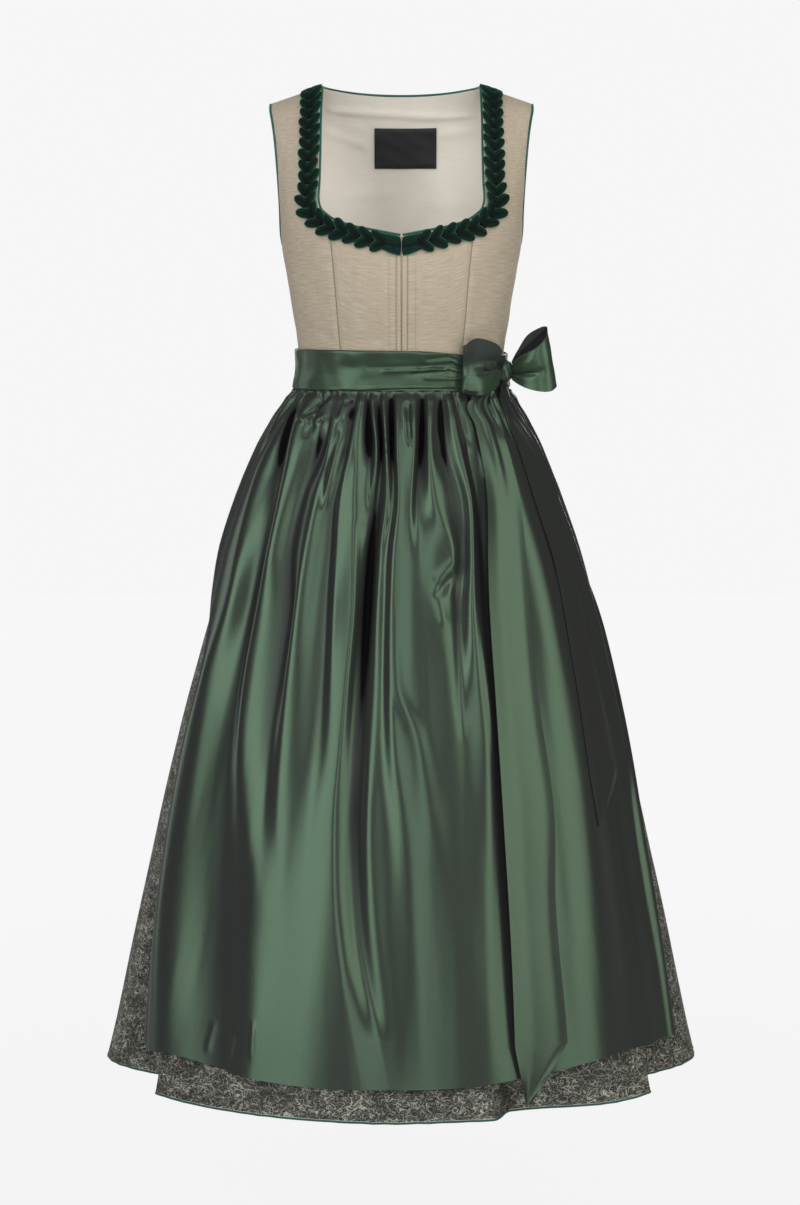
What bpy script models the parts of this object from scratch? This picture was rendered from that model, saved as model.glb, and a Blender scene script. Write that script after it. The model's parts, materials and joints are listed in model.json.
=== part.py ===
"""A dirndl: fitted linen bodice, gathered jacquard skirt, satin apron with its band and bow.

The dress keeps the hollow form that it has when it is worn. Heights are given as the drop below the
shoulder points, and places round the body as an angle from the centre front, positive to the
wearer's left (+X). The front faces -Y.
"""

import math

import bmesh
import bpy
import numpy as np

# ------------------------------------------------------------------ driving dimensions, in metres
BODICE_WALL = 0.0015
LINING_WALL = 0.0009
SKIRT_WALL = 0.0012
APRON_WALL = 0.0010
RIBBON_WALL = 0.0012
BAND_WALL = 0.0025
LABEL_WALL = 0.0006
PIPING_RADIUS = 0.0014
HEM_PIPING_RADIUS = 0.0013

SEAM_GAP = 0.0003
PIPING_GAP = 0.0018  # from a piping's middle to the edge of the cloth beside it
NECK_CORNER_GAP = 0.0028  # the same where the neck meets the shoulder seam
OVER_FACETS = 0.0004  # more room where two pieces are faceted differently

SHOULDER_HALF = 0.1560  # half the width across the shoulders
SHOULDER_FALL = 0.0211  # how much lower the shoulder is at the armhole than at the neck
SHOULDER_FADE = 0.16  # the drop where that slope has died away
NECK_HALF = 0.0935
NECK_BACK_DEPTH = 0.0650
NECK_BACK_FALL = 0.0065
NECK_BACK_FADE = 0.08
NECK_BACK_BLEND = 0.12  # the drop where the back no longer follows the neck curve
ARMHOLE_DROP = 0.1900
UNDERARM_START = 0.1400  # from here to the underarm the cloth keeps further from the piping
UNDERARM_MORE = 0.0013
UNDERARM_GAP = 0.0029  # from the piping's middle down to the top of the side seam
WAIST_DROP = 0.3525
BAND_BOTTOM = 0.3600
BAND_STAND = SEAM_GAP + 2.5 * OVER_FACETS
APRON_TOP = BAND_BOTTOM + SEAM_GAP
APRON_STAND = 0.0022  # the apron's inner face over the skirt
APRON_HEM = 1.1430
HEM_DROP = 1.1830
BAND_END_DEG = 100.0
TORSO_ROUND = 2.35  # exponent of the torso's sections: 2 is an ellipse, more is squarer
RIDGE_BACK_OFF = 0.00035  # half the shoulder seam's gap


def table(names, rows):
    """A short table as arrays, one for each named column."""
    return dict(zip(names.split(), np.array(rows, float).T))


# Half-width at the panels' edge, depth in front of and behind the mid-plane, and the angle at which
# the front and the back panel end at the armhole (90 is the side seam).
TORSO = table(
    "drop side front back edge_front edge_back",
    [
        (0.0000, 0.1560, 0.0000, 0.0000, 52, 54),
        (0.0030, 0.1560, 0.0180, 0.0200, 54, 56),
        (0.0100, 0.1555, 0.0340, 0.0380, 56, 58),
        (0.0250, 0.1530, 0.0530, 0.0580, 58, 60),
        (0.0500, 0.1500, 0.0710, 0.0750, 60, 63),
        (0.0850, 0.1474, 0.0880, 0.0880, 64, 66),
        (0.1200, 0.1456, 0.1010, 0.0950, 70, 70),
        (0.1500, 0.1446, 0.1100, 0.0970, 77, 76),
        (0.1750, 0.1444, 0.1155, 0.0960, 84, 82.5),
        (0.1900, 0.1430, 0.1175, 0.0945, 90, 90),
        (0.2150, 0.1386, 0.1180, 0.0920, 90, 90),
        (0.2450, 0.1337, 0.1150, 0.0890, 90, 90),
        (0.2750, 0.1290, 0.1080, 0.0860, 90, 90),
        (0.3050, 0.1246, 0.0990, 0.0840, 90, 90),
        (0.3200, 0.1232, 0.0955, 0.0836, 90, 90),
        (0.3350, 0.1232, 0.0930, 0.0835, 90, 90),
        (WAIST_DROP, 0.1262, 0.0920, 0.0840, 90, 90),
    ],
)
# The skirt's smooth form, without its folds.
SKIRT = table(
    "drop side front back round",
    [
        (WAIST_DROP, 0.1262, 0.0920, 0.0840, TORSO_ROUND),
        (0.3720, 0.1305, 0.0965, 0.0885, 2.30),
        (0.3970, 0.1430, 0.1070, 0.0985, 2.24),
        (0.4210, 0.1555, 0.1170, 0.1085, 2.20),
        (0.4455, 0.1655, 0.1250, 0.1165, 2.17),
        (0.4940, 0.1840, 0.1395, 0.1310, 2.12),
        (0.5430, 0.2025, 0.1525, 0.1440, 2.08),
        (0.5920, 0.2190, 0.1635, 0.1560, 2.05),
        (0.6410, 0.2340, 0.1740, 0.1670, 2.03),
        (0.7400, 0.2625, 0.1950, 0.1890, 2.01),
        (0.8400, 0.2880, 0.2150, 0.2090, 2.00),
        (0.9400, 0.3105, 0.2330, 0.2280, 2.00),
        (1.0400, 0.3330, 0.2510, 0.2460, 2.00),
        (1.1430, 0.3552, 0.2695, 0.2635, 2.00),
        (HEM_DROP, 0.3645, 0.2770, 0.2700, 2.00),
    ],
)
# The neck edge on the strap, from the shoulder to the corner, and along the bottom to the centre.
NECK_STRAP = table(
    "drop x",
    [(0.0, NECK_HALF), (0.040, 0.0945), (0.080, 0.0948), (0.115, 0.0955), (0.144, 0.0955), (0.149, 0.0935)],
)
NECK_BOTTOM = table(
    "x drop",
    [(0.0, 0.1785), (0.029, 0.1730), (0.060, 0.1665), (0.080, 0.1590), (0.0935, 0.1490)],
)
PRINCESS = table(
    "drop x",
    [
        (0.1535, 0.0940),
        (0.1690, 0.0872),
        (0.1840, 0.0832),
        (0.2150, 0.0803),
        (0.2750, 0.0752),
        (0.3050, 0.0728),
        (WAIST_DROP, 0.0702),
    ],
)
# The leaf trim from the centre front round the corner to the shoulder: its inner and outer edge and
# its thickness.
TRIM = table(
    "inner_x inner_drop outer_x outer_drop thickness",
    [
        (0.0004, 0.1810, 0.0004, 0.2031, 0.0050),
        (0.0210, 0.1773, 0.0155, 0.2018, 0.0050),
        (0.0410, 0.1734, 0.0320, 0.1990, 0.0050),
        (0.0600, 0.1692, 0.0490, 0.1953, 0.0050),
        (0.0800, 0.1618, 0.0750, 0.1880, 0.0050),
        (0.0940, 0.1530, 0.1010, 0.1780, 0.0050),
        (0.0985, 0.1450, 0.1182, 0.1620, 0.0050),
        (0.0982, 0.1300, 0.1230, 0.1420, 0.0050),
        (0.0980, 0.1150, 0.1229, 0.1220, 0.0050),
        (0.0974, 0.0850, 0.1221, 0.0870, 0.0050),
        (0.0972, 0.0550, 0.1213, 0.0560, 0.0050),
        (0.0968, 0.0290, 0.1203, 0.0290, 0.0045),
        (0.0963, 0.0110, 0.1193, 0.0110, 0.0035),
        (0.0961, 0.0040, 0.1188, 0.0040, 0.0025),
        (0.0960, 0.0012, 0.1185, 0.0012, 0.0018),
    ],
)
# Where the skirt turns under itself: the angle of the fold's edge, the side it turns to, how deep it
# is at the hem, how far round it takes to come out again, and the drop where it starts.
SKIRT_FOLDS = table(
    "edge side depth width start",
    [
        (-52.6, -1, 0.052, 35, 0.36),
        (16.7, 1, 0.028, 32, 0.60),
        (53.6, 1, 0.044, 36, 0.36),
        (99.0, 1, 0.034, 28, 0.42),
        (131.0, 1, 0.040, 30, 0.38),
        (163.0, 1, 0.032, 26, 0.46),
        (-99.0, -1, 0.036, 24, 0.40),
        (-126.0, -1, 0.044, 30, 0.38),
        (-159.0, -1, 0.034, 26, 0.44),
    ],
)
FOLD_LIP = 0.16  # share of a fold's width over which its edge falls away
# The apron's ridges: where each starts and ends, its angle at its start, middle and end, half its
# width and how far it stands out.
APRON_FOLDS = table(
    "start end at_start at_middle at_end half_width height",
    [
        (0.560, 1.300, -56, -52, -45, 7.0, 0.011),
        (0.362, 0.900, -53, -44, -31, 5.0, 0.009),
        (0.420, 1.300, -27, -30, -25, 5.0, 0.010),
        (0.420, 1.160, -22, -17, -6, 5.0, 0.010),
        (0.640, 1.120, -13, -13, -3, 3.2, 0.005),
        (0.362, 0.980, -2, -4, 4, 4.5, 0.010),
        (0.620, 1.300, 3, 9, 11, 5.0, 0.006),
        (0.362, 0.900, 9, 13, 16, 3.6, 0.007),
        (0.480, 1.300, 24, 21, 19, 4.2, 0.009),
        (0.362, 1.300, 56, 47, 40, 8.0, 0.009),
        (0.362, 1.180, 80, 72, 62, 8.0, 0.008),
        (0.362, 0.820, -82, -76, -68, 8.0, 0.008),
        (0.362, 0.700, 33, 33, 31, 6.0, 0.007),
    ],
)
# The apron's side edges.
APRON_EDGE = table(
    "drop right left",
    [
        (APRON_TOP, -98, 98),
        (0.500, -95, 95),
        (0.600, -82, 88),
        (0.680, -71, 81),
        (0.760, -67.5, 76),
        (0.850, -66, 71),
        (0.950, -65.5, 68.5),
        (1.040, -63.5, 67),
        (APRON_HEM, -59.5, 65),
    ],
)
# The apron's hem hangs higher at its sides.
APRON_HEM_LINE = table(
    "degrees drop",
    [
        (-62, 1.1330),
        (-56, 1.1320),
        (-48, 1.1270),
        (-38, 1.1330),
        (-29, 1.1385),
        (-18, 1.1420),
        (0, APRON_HEM),
        (12, 1.1415),
        (21, 1.1385),
        (31, 1.1310),
        (42, 1.1250),
        (52, 1.1260),
        (66, 1.1260),
    ],
)
# The band's top edge, which dips towards the bow.
BAND_TOP_LINE = table(
    "degrees drop",
    [
        (-100, 0.3105),
        (-20, 0.3108),
        (10, 0.3120),
        (35, 0.3165),
        (60, 0.3175),
        (100, 0.3150),
        (150, 0.3110),
        (260, 0.3105),
    ],
)
# The bow's tails lie over the apron: their edges down their length.
TAIL_LONG = table(
    "drop inner outer stand",
    [
        (0.3450, 57.0, 60.5, 0.0048),
        (0.3560, 45.0, 52.0, 0.0052),
        (0.3680, 34.0, 45.5, 0.0075),
        (0.4000, 32.0, 45.0, 0.0130),
        (0.4690, 30.3, 44.5, 0.0160),
        (0.5520, 26.8, 40.9, 0.0165),
        (0.7140, 24.2, 36.8, 0.0165),
        (0.8400, 23.0, 36.0, 0.0165),
        (0.9400, 22.4, 33.4, 0.0165),
        (1.1000, 21.2, 32.1, 0.0165),
    ],
)
TAIL_LONG_TIP = (1.1650, 22.6, 23.4, 0.0165)
TAIL_SHORT = table(
    "drop inner outer stand",
    [
        (0.3514, 61.0, 69.0, 0.0085),
        (0.3640, 58.0, 70.0, 0.0100),
        (0.3900, 53.0, 66.0, 0.0125),
        (0.4200, 51.0, 63.5, 0.0140),
        (0.4900, 53.0, 63.0, 0.0155),
        (0.5600, 54.0, 63.0, 0.0155),
        (0.6500, 51.2, 61.2, 0.0155),
        (0.7500, 49.0, 62.0, 0.0155),
        (0.8080, 48.6, 65.0, 0.0155),
    ],
)
TAIL_SHORT_TIP = (0.8650, 48.8, 49.8, 0.0155)
# The bow's loops: a ribbon stood on edge, from the front of the knot, round its tip and back.
LOOP_INNER = table(
    "x_top x_bottom y top bottom",
    [
        (0.1188, 0.1184, -0.0587, 0.3120, 0.3440),
        (0.1110, 0.1100, -0.0745, 0.3040, 0.3560),
        (0.0950, 0.0960, -0.0920, 0.2980, 0.3630),
        (0.0840, 0.0830, -0.0990, 0.2985, 0.3635),
        (0.0755, 0.0740, -0.1010, 0.3045, 0.3610),
        (0.0730, 0.0710, -0.0970, 0.3060, 0.3595),
        (0.0745, 0.0735, -0.0925, 0.3060, 0.3590),
        (0.0860, 0.0860, -0.0870, 0.3040, 0.3590),
        (0.0990, 0.0990, -0.0770, 0.3070, 0.3570),
        (0.1166, 0.1166, -0.0574, 0.3260, 0.3470),
    ],
)
LOOP_OUTER = table(
    "x_top x_bottom y top bottom",
    [
        (0.1319, 0.1319, -0.0518, 0.3260, 0.3470),
        (0.1440, 0.1455, -0.0650, 0.3105, 0.3555),
        (0.1570, 0.1620, -0.0710, 0.2980, 0.3600),
        (0.1680, 0.1760, -0.0690, 0.2870, 0.3600),
        (0.1715, 0.1835, -0.0600, 0.2840, 0.3545),
        (0.1650, 0.1780, -0.0500, 0.2850, 0.3560),
        (0.1500, 0.1600, -0.0440, 0.2940, 0.3580),
        (0.1390, 0.1420, -0.0400, 0.3110, 0.3540),
        (0.1316, 0.1316, -0.0436, 0.3260, 0.3470),
    ],
)
# The knot: its angle round the waist, its drop, and half its width, thickness and height.
KNOT_DEG = 65.0
KNOT_DROP = 0.3375
KNOT_HALF = (0.0095, 0.0075, 0.0130)

# ------------------------------------------------------------------ rows and columns of the facets
TORSO_ROWS = (0.025, 0.050, 0.085, 0.120, 0.150, 0.175, ARMHOLE_DROP, 0.215, 0.245, 0.275, 0.305, 0.335)
FRONT_ROWS = (0.215, 0.245, 0.275, 0.305, 0.335)
SKIRT_ROWS = (0.3720, 0.3970, 0.4455, 0.5200, 0.6300, 0.7500, 0.8700, 0.9900, 1.0800)
CENTRE_COLUMNS = 5
SIDE_COLUMNS = 4
BACK_NECK_COLUMNS = 4
BACK_STRAP_COLUMNS = 3
SKIRT_FRONT_COLUMNS = 23
SKIRT_BACK_COLUMNS = 28
APRON_COLUMNS = 44
BAND_COLUMNS = 22
TIE_COLUMNS = 20
PIPING_SIDES = 5

COLOURS = {
    "linen": ((0.62, 0.53, 0.41), 0.75, 0.0),
    "lining": ((0.72, 0.66, 0.57), 0.45, 0.0),
    "label": ((0.02, 0.02, 0.025), 0.55, 0.0),
    "velvet": ((0.01, 0.07, 0.045), 0.9, 0.0),
    "piping": ((0.02, 0.17, 0.14), 0.6, 0.0),
    "jacquard": ((0.09, 0.08, 0.06), 0.6, 0.0),
    "satin": ((0.09, 0.20, 0.12), 0.35, 0.5),
}


# ------------------------------------------------------------------ form of the dress
def smooth(knots, values, at):
    """A smooth curve through the values at the knots."""
    slope = np.gradient(values, knots)
    at = np.clip(at, knots[0], knots[-1])
    i = np.clip(np.searchsorted(knots, at, side="right") - 1, 0, len(knots) - 2)
    step = knots[i + 1] - knots[i]
    u = (at - knots[i]) / step
    return (
        (1 + 2 * u) * (1 - u) ** 2 * values[i]
        + u * (1 - u) ** 2 * step * slope[i]
        + u * u * (3 - 2 * u) * values[i + 1]
        + u * u * (u - 1) * step * slope[i + 1]
    )


def ease(u):
    """0 to 1, level at both ends."""
    u = np.clip(u, 0.0, 1.0)
    return u * u * (3 - 2 * u)


def signed_power(value, exponent):
    return np.sign(value) * np.abs(value) ** exponent


def torso_row(drop):
    """The torso's columns at a drop. Depths grow as its square root at the shoulder ridge."""
    at = np.sqrt(np.maximum(drop, 0.0))
    row = {name: smooth(np.sqrt(TORSO["drop"]), TORSO[name], at) for name in TORSO if name != "drop"}
    for name in ("edge_front", "edge_back"):
        row[name] = np.where(drop >= ARMHOLE_DROP, 90.0, np.minimum(row[name], 90.0))
    return row


def torso_reach(row, front):
    """Half-width of the whole section, of which the panels take the part up to their edge."""
    edge = np.radians(np.where(front, row["edge_front"], row["edge_back"]))
    return row["side"] / np.sin(edge) ** (2 / TORSO_ROUND)


def torso(angle, drop):
    """Points of the torso's surface. Angles are from the centre front, up to pi at the centre back."""
    angle, drop = np.broadcast_arrays(np.asarray(angle, float), np.asarray(drop, float))
    row = torso_row(drop)
    front = np.cos(angle) >= 0
    power = 2 / TORSO_ROUND
    x = torso_reach(row, front) * signed_power(np.sin(angle), power)
    depth = np.where(front, row["front"], row["back"])
    y = depth * np.abs(np.cos(angle)) ** power
    across_neck = np.clip(1 - (x / NECK_HALF) ** 2, 0, 1)
    neck = NECK_BACK_DEPTH * np.sqrt(across_neck) * (1 - ease(drop / NECK_BACK_BLEND))
    y = np.where(front, -y, np.cbrt(y**3 + neck**3))
    beyond_neck = np.clip((np.abs(x) - NECK_HALF) / (SHOULDER_HALF - NECK_HALF), 0, None)
    fall = SHOULDER_FALL * beyond_neck * (1 - ease(drop / SHOULDER_FADE))
    dip = np.where(front, 0.0, NECK_BACK_FALL * across_neck * (1 - ease(drop / NECK_BACK_FADE)))
    return np.stack([x, y, -drop - fall - dip], -1)


def torso_angle(x, drop, front=True):
    """The angle at which the torso's section has this x."""
    share = np.clip(x / torso_reach(torso_row(drop), front), -1, 1)
    angle = np.arcsin(signed_power(share, TORSO_ROUND / 2))
    return angle if front else math.pi - angle


def skirt_base(angle, drop):
    """Points of the skirt's smooth form."""
    angle, drop = np.broadcast_arrays(np.asarray(angle, float), np.asarray(drop, float))
    row = {name: smooth(SKIRT["drop"], SKIRT[name], drop) for name in SKIRT if name != "drop"}
    power = 2 / row["round"]
    depth = np.where(np.cos(angle) >= 0, row["front"], row["back"])
    x = row["side"] * signed_power(np.sin(angle), power)
    return np.stack([x, -depth * signed_power(np.cos(angle), power), -drop], -1)


def level_outward(angle, drop):
    """The horizontal direction out of the skirt's smooth form."""
    step = 1e-3
    along = skirt_base(angle + step, drop) - skirt_base(angle - step, drop)
    out = np.stack([-along[..., 1], along[..., 0], 0 * along[..., 0]], -1) * -1
    return out / np.linalg.norm(out, axis=-1, keepdims=True)


def waist(angle, drop):
    """The surface under the band: the torso down to the waist seam, then the skirt."""
    drop = np.asarray(drop, float)
    above = (drop <= WAIST_DROP)[..., None]
    return np.where(above, torso(angle, np.minimum(drop, WAIST_DROP)), skirt_base(angle, drop))


def skirt_recess(angle, drop):
    """How far the skirt's folds go in."""
    degrees = np.degrees(angle)
    total = np.zeros(np.broadcast(degrees, drop).shape)
    for edge, side, depth, width, start in zip(*SKIRT_FOLDS.values()):
        into = ((degrees - edge + 180) % 360 - 180) * side / width
        shape = np.where(into > 0, ease(into / FOLD_LIP) * (1 - ease((into - FOLD_LIP) / (1 - FOLD_LIP))), 0)
        total = total + depth * shape * np.clip((drop - start) / (HEM_DROP - start), 0, 1)
    return total


def skirt(angle, drop):
    return skirt_base(angle, drop) - level_outward(angle, drop) * skirt_recess(angle, drop)[..., None]


def apron_height(angle, drop):
    """How far the apron's ridges stand out."""
    degrees = np.degrees(angle)
    total = np.zeros(np.broadcast(degrees, drop).shape)
    for start, end, first, middle, last, half_width, height in zip(*APRON_FOLDS.values()):
        down = np.clip((drop - start) / (end - start), 0, 1)
        curve = 2 * (first - 2 * middle + last)
        line = first + (4 * middle - 3 * first - last) * down + curve * down**2
        near = np.clip(1 - np.abs(degrees - line) / half_width, 0, 1)
        total = np.maximum(total, height * ease(near) * ease(down / 0.12) * ease((1 - down) / 0.15))
    return total


def apron(angle, drop):
    stand = APRON_STAND + APRON_WALL + apron_height(angle, drop)
    return skirt_base(angle, drop) + level_outward(angle, drop) * stand[..., None]


# ------------------------------------------------------------------ solids
def normals(surface, angle, drop):
    """Outward normals of a surface given by angle and drop, where drop 0 may be a rounded ridge."""
    turn, rise = 1e-3, 1e-4
    down = np.sqrt(np.maximum(drop, 0.0))
    upper = np.maximum(down - rise, 0.0) ** 2
    across = surface(angle + turn, drop) - surface(angle - turn, drop)
    along = surface(angle, (down + rise) ** 2) - surface(angle, upper)
    normal = np.cross(along, across)
    return normal / np.linalg.norm(normal, axis=-1, keepdims=True)


def grid_normals(points):
    """Normals of a grid of points, from its own rows and columns."""
    normal = np.cross(np.gradient(points, axis=0), np.gradient(points, axis=1))
    return normal / np.linalg.norm(normal, axis=-1, keepdims=True)


def material(slot):
    found = bpy.data.materials.get(slot)
    if found:
        return found
    colour, roughness, metallic = COLOURS[slot]
    made = bpy.data.materials.new(slot)
    made.use_nodes = True
    shader = made.node_tree.nodes["Principled BSDF"]
    shader.inputs["Base Color"].default_value = (*colour, 1.0)
    shader.inputs["Roughness"].default_value = roughness
    shader.inputs["Metallic"].default_value = metallic
    return made


def solid(name, slot, points, faces):
    """One closed body from points and triangles or quads."""
    mesh = bpy.data.meshes.new(name)
    mesh.from_pydata([tuple(p) for p in points], [], faces)
    shaped = bmesh.new()
    shaped.from_mesh(mesh)
    bmesh.ops.recalc_face_normals(shaped, faces=shaped.faces)
    shaped.to_mesh(mesh)
    shaped.free()
    mesh.shade_smooth()
    mesh.set_sharp_from_angle(angle=math.radians(50))
    mesh.materials.append(material(slot))
    made = bpy.data.objects.new(name, mesh)
    bpy.context.scene.collection.objects.link(made)
    return made


def wall(name, slot, outer, inner):
    """A wall of cloth between two grids of points. Both faces are split along the same diagonals."""
    rows, columns = outer.shape[:2]
    count = rows * columns
    faces = []
    for r in range(rows - 1):
        for c in range(columns - 1):
            a, b = r * columns + c, r * columns + c + 1
            d, e = a + columns, b + columns
            faces += [(a, d, b), (b, d, e)]
            faces += [(count + a, count + b, count + d), (count + b, count + e, count + d)]
    rim = [c for c in range(columns)]
    rim += [r * columns + columns - 1 for r in range(1, rows)]
    rim += [(rows - 1) * columns + c for c in range(columns - 2, -1, -1)]
    rim += [r * columns for r in range(rows - 2, 0, -1)]
    for a, b in zip(rim, rim[1:] + rim[:1]):
        faces.append((a, b, count + b, count + a))
    return solid(name, slot, np.concatenate([outer.reshape(-1, 3), inner.reshape(-1, 3)]), faces)


def panel(name, slot, surface, angle, drop, thickness, stand=0.0):
    """A wall whose outer face stands off the surface and whose inner face is a thickness further in."""
    points, out = surface(angle, drop), normals(surface, angle, drop)
    return wall(name, slot, points + out * stand, points + out * (stand - thickness))


def tube(name, slot, path, out, radius, closed=False):
    """A round piping along a path. out is the direction of its first side at each point."""
    sides = PIPING_SIDES
    if closed:
        along = np.roll(path, -1, axis=0) - np.roll(path, 1, axis=0)
    else:
        along = np.gradient(path, axis=0)
    along = along / np.linalg.norm(along, axis=-1, keepdims=True)
    across = np.cross(along, out)
    across = across / np.linalg.norm(across, axis=-1, keepdims=True)
    up = np.cross(across, along)
    points = []
    for k in range(sides):
        turn = 2 * math.pi * k / sides
        points.append(path + radius * (math.cos(turn) * up + math.sin(turn) * across))
    points = np.stack(points, 1).reshape(-1, 3)
    count = len(path)
    faces = []
    for i in range(count if closed else count - 1):
        j = (i + 1) % count
        for k in range(sides):
            m = (k + 1) % sides
            faces.append((i * sides + k, i * sides + m, j * sides + m, j * sides + k))
    if not closed:
        faces.append(tuple(range(sides)))
        faces.append(tuple((count - 1) * sides + k for k in range(sides)))
    return solid(name, slot, points, faces)


def ribbon(name, slot, top, bottom, thickness):
    """A ribbon between two edges, with a point on each at every station."""
    middle = (top + bottom) / 2
    points = np.stack([top, middle, bottom], 1)
    out = grid_normals(points)
    return wall(name, slot, points + out * thickness / 2, points - out * thickness / 2)


# ------------------------------------------------------------------ bodice
def strap_x(drop):
    return smooth(NECK_STRAP["drop"], NECK_STRAP["x"], drop)


def neck_bottom_drop(x):
    return smooth(NECK_BOTTOM["x"], NECK_BOTTOM["drop"], x)


def princess_x(drop):
    return np.interp(drop, PRINCESS["drop"], PRINCESS["x"])


def armhole_angle(drop, front, piping=False):
    """The panel's armhole edge beside the piping, or its side seam below. With piping, its middle."""
    column = "edge_front" if front else "edge_back"
    edge = np.radians(torso_row(drop)[column])
    if not front:
        edge = math.pi - edge
    side = 1 if front else -1
    step = 1e-3 * side
    speed = np.linalg.norm(torso(edge, drop) - torso(edge - step, drop), axis=-1) / 1e-3
    inset = PIPING_GAP + UNDERARM_MORE * ease((drop - UNDERARM_START) / (ARMHOLE_DROP - UNDERARM_START))
    inset = np.where(drop < ARMHOLE_DROP + 1e-6, inset, SEAM_GAP / 2)
    return edge - side * inset * (not piping) / speed


def build_centre_front(side):
    first_x, last_x = SEAM_GAP / 2, PRINCESS["x"][0] - SEAM_GAP / 2
    top_x = np.linspace(first_x, last_x, CENTRE_COLUMNS + 1)
    slope = np.gradient(neck_bottom_drop(top_x), top_x)
    top = neck_bottom_drop(top_x) + (PIPING_GAP + OVER_FACETS) * np.sqrt(1 + slope**2)
    top[-1] = PRINCESS["drop"][0]
    upper = (PRINCESS["drop"][:4] - PRINCESS["drop"][0]) / (FRONT_ROWS[0] - PRINCESS["drop"][0])
    rows = [top + (FRONT_ROWS[0] - top) * share for share in upper]
    rows += [np.full(CENTRE_COLUMNS + 1, drop) for drop in (*FRONT_ROWS[1:], WAIST_DROP - SEAM_GAP)]
    drop = np.array(rows)
    edge = princess_x(drop[:, -1:]) - SEAM_GAP / 2
    x = first_x + (edge - first_x) * np.linspace(0, 1, CENTRE_COLUMNS + 1)
    name = "bodice_centre_front_" + ("left" if side > 0 else "right")
    panel(name, "linen", torso, side * torso_angle(x, drop), drop, BODICE_WALL)


def build_side_front(side):
    strap = [0.0, 0.003, 0.010, *TORSO_ROWS[:4], NECK_STRAP["drop"][-2]]
    seam = [*PRINCESS["drop"][:3], 0.175, ARMHOLE_DROP, ARMHOLE_DROP + UNDERARM_GAP, *FRONT_ROWS]
    drops = np.array(sorted([*strap, *seam, WAIST_DROP - SEAM_GAP]))
    beside_neck = strap_x(drops) + PIPING_GAP + OVER_FACETS
    inner = np.where(drops < PRINCESS["drop"][0], beside_neck, princess_x(drops) + SEAM_GAP / 2)
    first = torso_angle(inner, drops)
    last = armhole_angle(drops, True)
    share = np.linspace(0, 1, SIDE_COLUMNS + 1)
    angle = first[:, None] + (last - first)[:, None] * share
    drop = np.repeat(drops[:, None], SIDE_COLUMNS + 1, 1)
    points, out = torso(side * angle, drop), normals(torso, side * angle, drop)
    out[0] = (0, 0, 1)
    points[0, :, 1] = -RIDGE_BACK_OFF
    name = "bodice_side_front_" + ("left" if side > 0 else "right")
    wall(name, "linen", points, points - out * BODICE_WALL)


def back_grid():
    """Angles and drops of the back panel: the neck curve and the shoulder seams form its first row."""
    neck_share = 0.507  # of the way to the armhole, where the neck meets the shoulder seam
    half = np.concatenate(
        [
            np.linspace(0, neck_share, BACK_NECK_COLUMNS + 1),
            np.linspace(neck_share, 1, BACK_STRAP_COLUMNS + 1)[1:],
        ]
    )
    share = np.concatenate([-half[:0:-1], half])
    underarm = ARMHOLE_DROP + UNDERARM_GAP
    drops = sorted([0.003, 0.010, *TORSO_ROWS, underarm, WAIST_DROP - SEAM_GAP])

    def angles(drop):
        return math.pi - share * (math.pi - armhole_angle(drop, False))

    def over_edge(drop):
        """Positive once the surface is clear of the neck piping or the shoulder seam."""
        point = torso(angles(drop), drop)
        inside = np.clip(1 - (point[..., 0] / (NECK_HALF + NECK_CORNER_GAP)) ** 2, 0, 1)
        return point[..., 1] - np.maximum((NECK_BACK_DEPTH + PIPING_GAP) * np.sqrt(inside), RIDGE_BACK_OFF)

    low, high = np.full(share.shape, 1e-9), np.full(share.shape, 0.02)
    for _ in range(40):
        middle = (low + high) / 2
        clear = over_edge(middle) > 0
        low, high = np.where(clear, low, middle), np.where(clear, middle, high)
    top = np.maximum((low + high) / 2, 1e-7)
    drop = [top]
    for level in drops:
        drop.append(np.maximum(level, top + 0.0006 * len(drop)))
    drop = np.array(drop)
    angle = np.array([angles(row) for row in drop])
    return angle, drop


def build_back():
    angle, drop = back_grid()
    points, out = torso(angle, drop), normals(torso, angle, drop)
    on_ridge = np.abs(points[0, :, 0]) > NECK_HALF + NECK_CORNER_GAP
    out[0, on_ridge] = (0, 0, 1)
    wall("bodice_back", "linen", points, points - out * BODICE_WALL)
    lining = points - out * (BODICE_WALL + SEAM_GAP)
    wall("back_lining", "lining", lining, lining - out * LINING_WALL)


def build_label():
    width, height, middle, first_drop = 0.0765, 0.0510, 0.0050, 0.0410
    drops = first_drop + height * np.linspace(0, 1, 4)
    xs = middle + width * np.linspace(-0.5, 0.5, 6)
    x, drop = np.meshgrid(xs, drops)
    angle = torso_angle(x, drop, front=False)
    stand = -(BODICE_WALL + SEAM_GAP + LINING_WALL + SEAM_GAP + 1.5 * OVER_FACETS)
    panel("neck_label", "label", torso, angle, drop, LABEL_WALL, stand)


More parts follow.
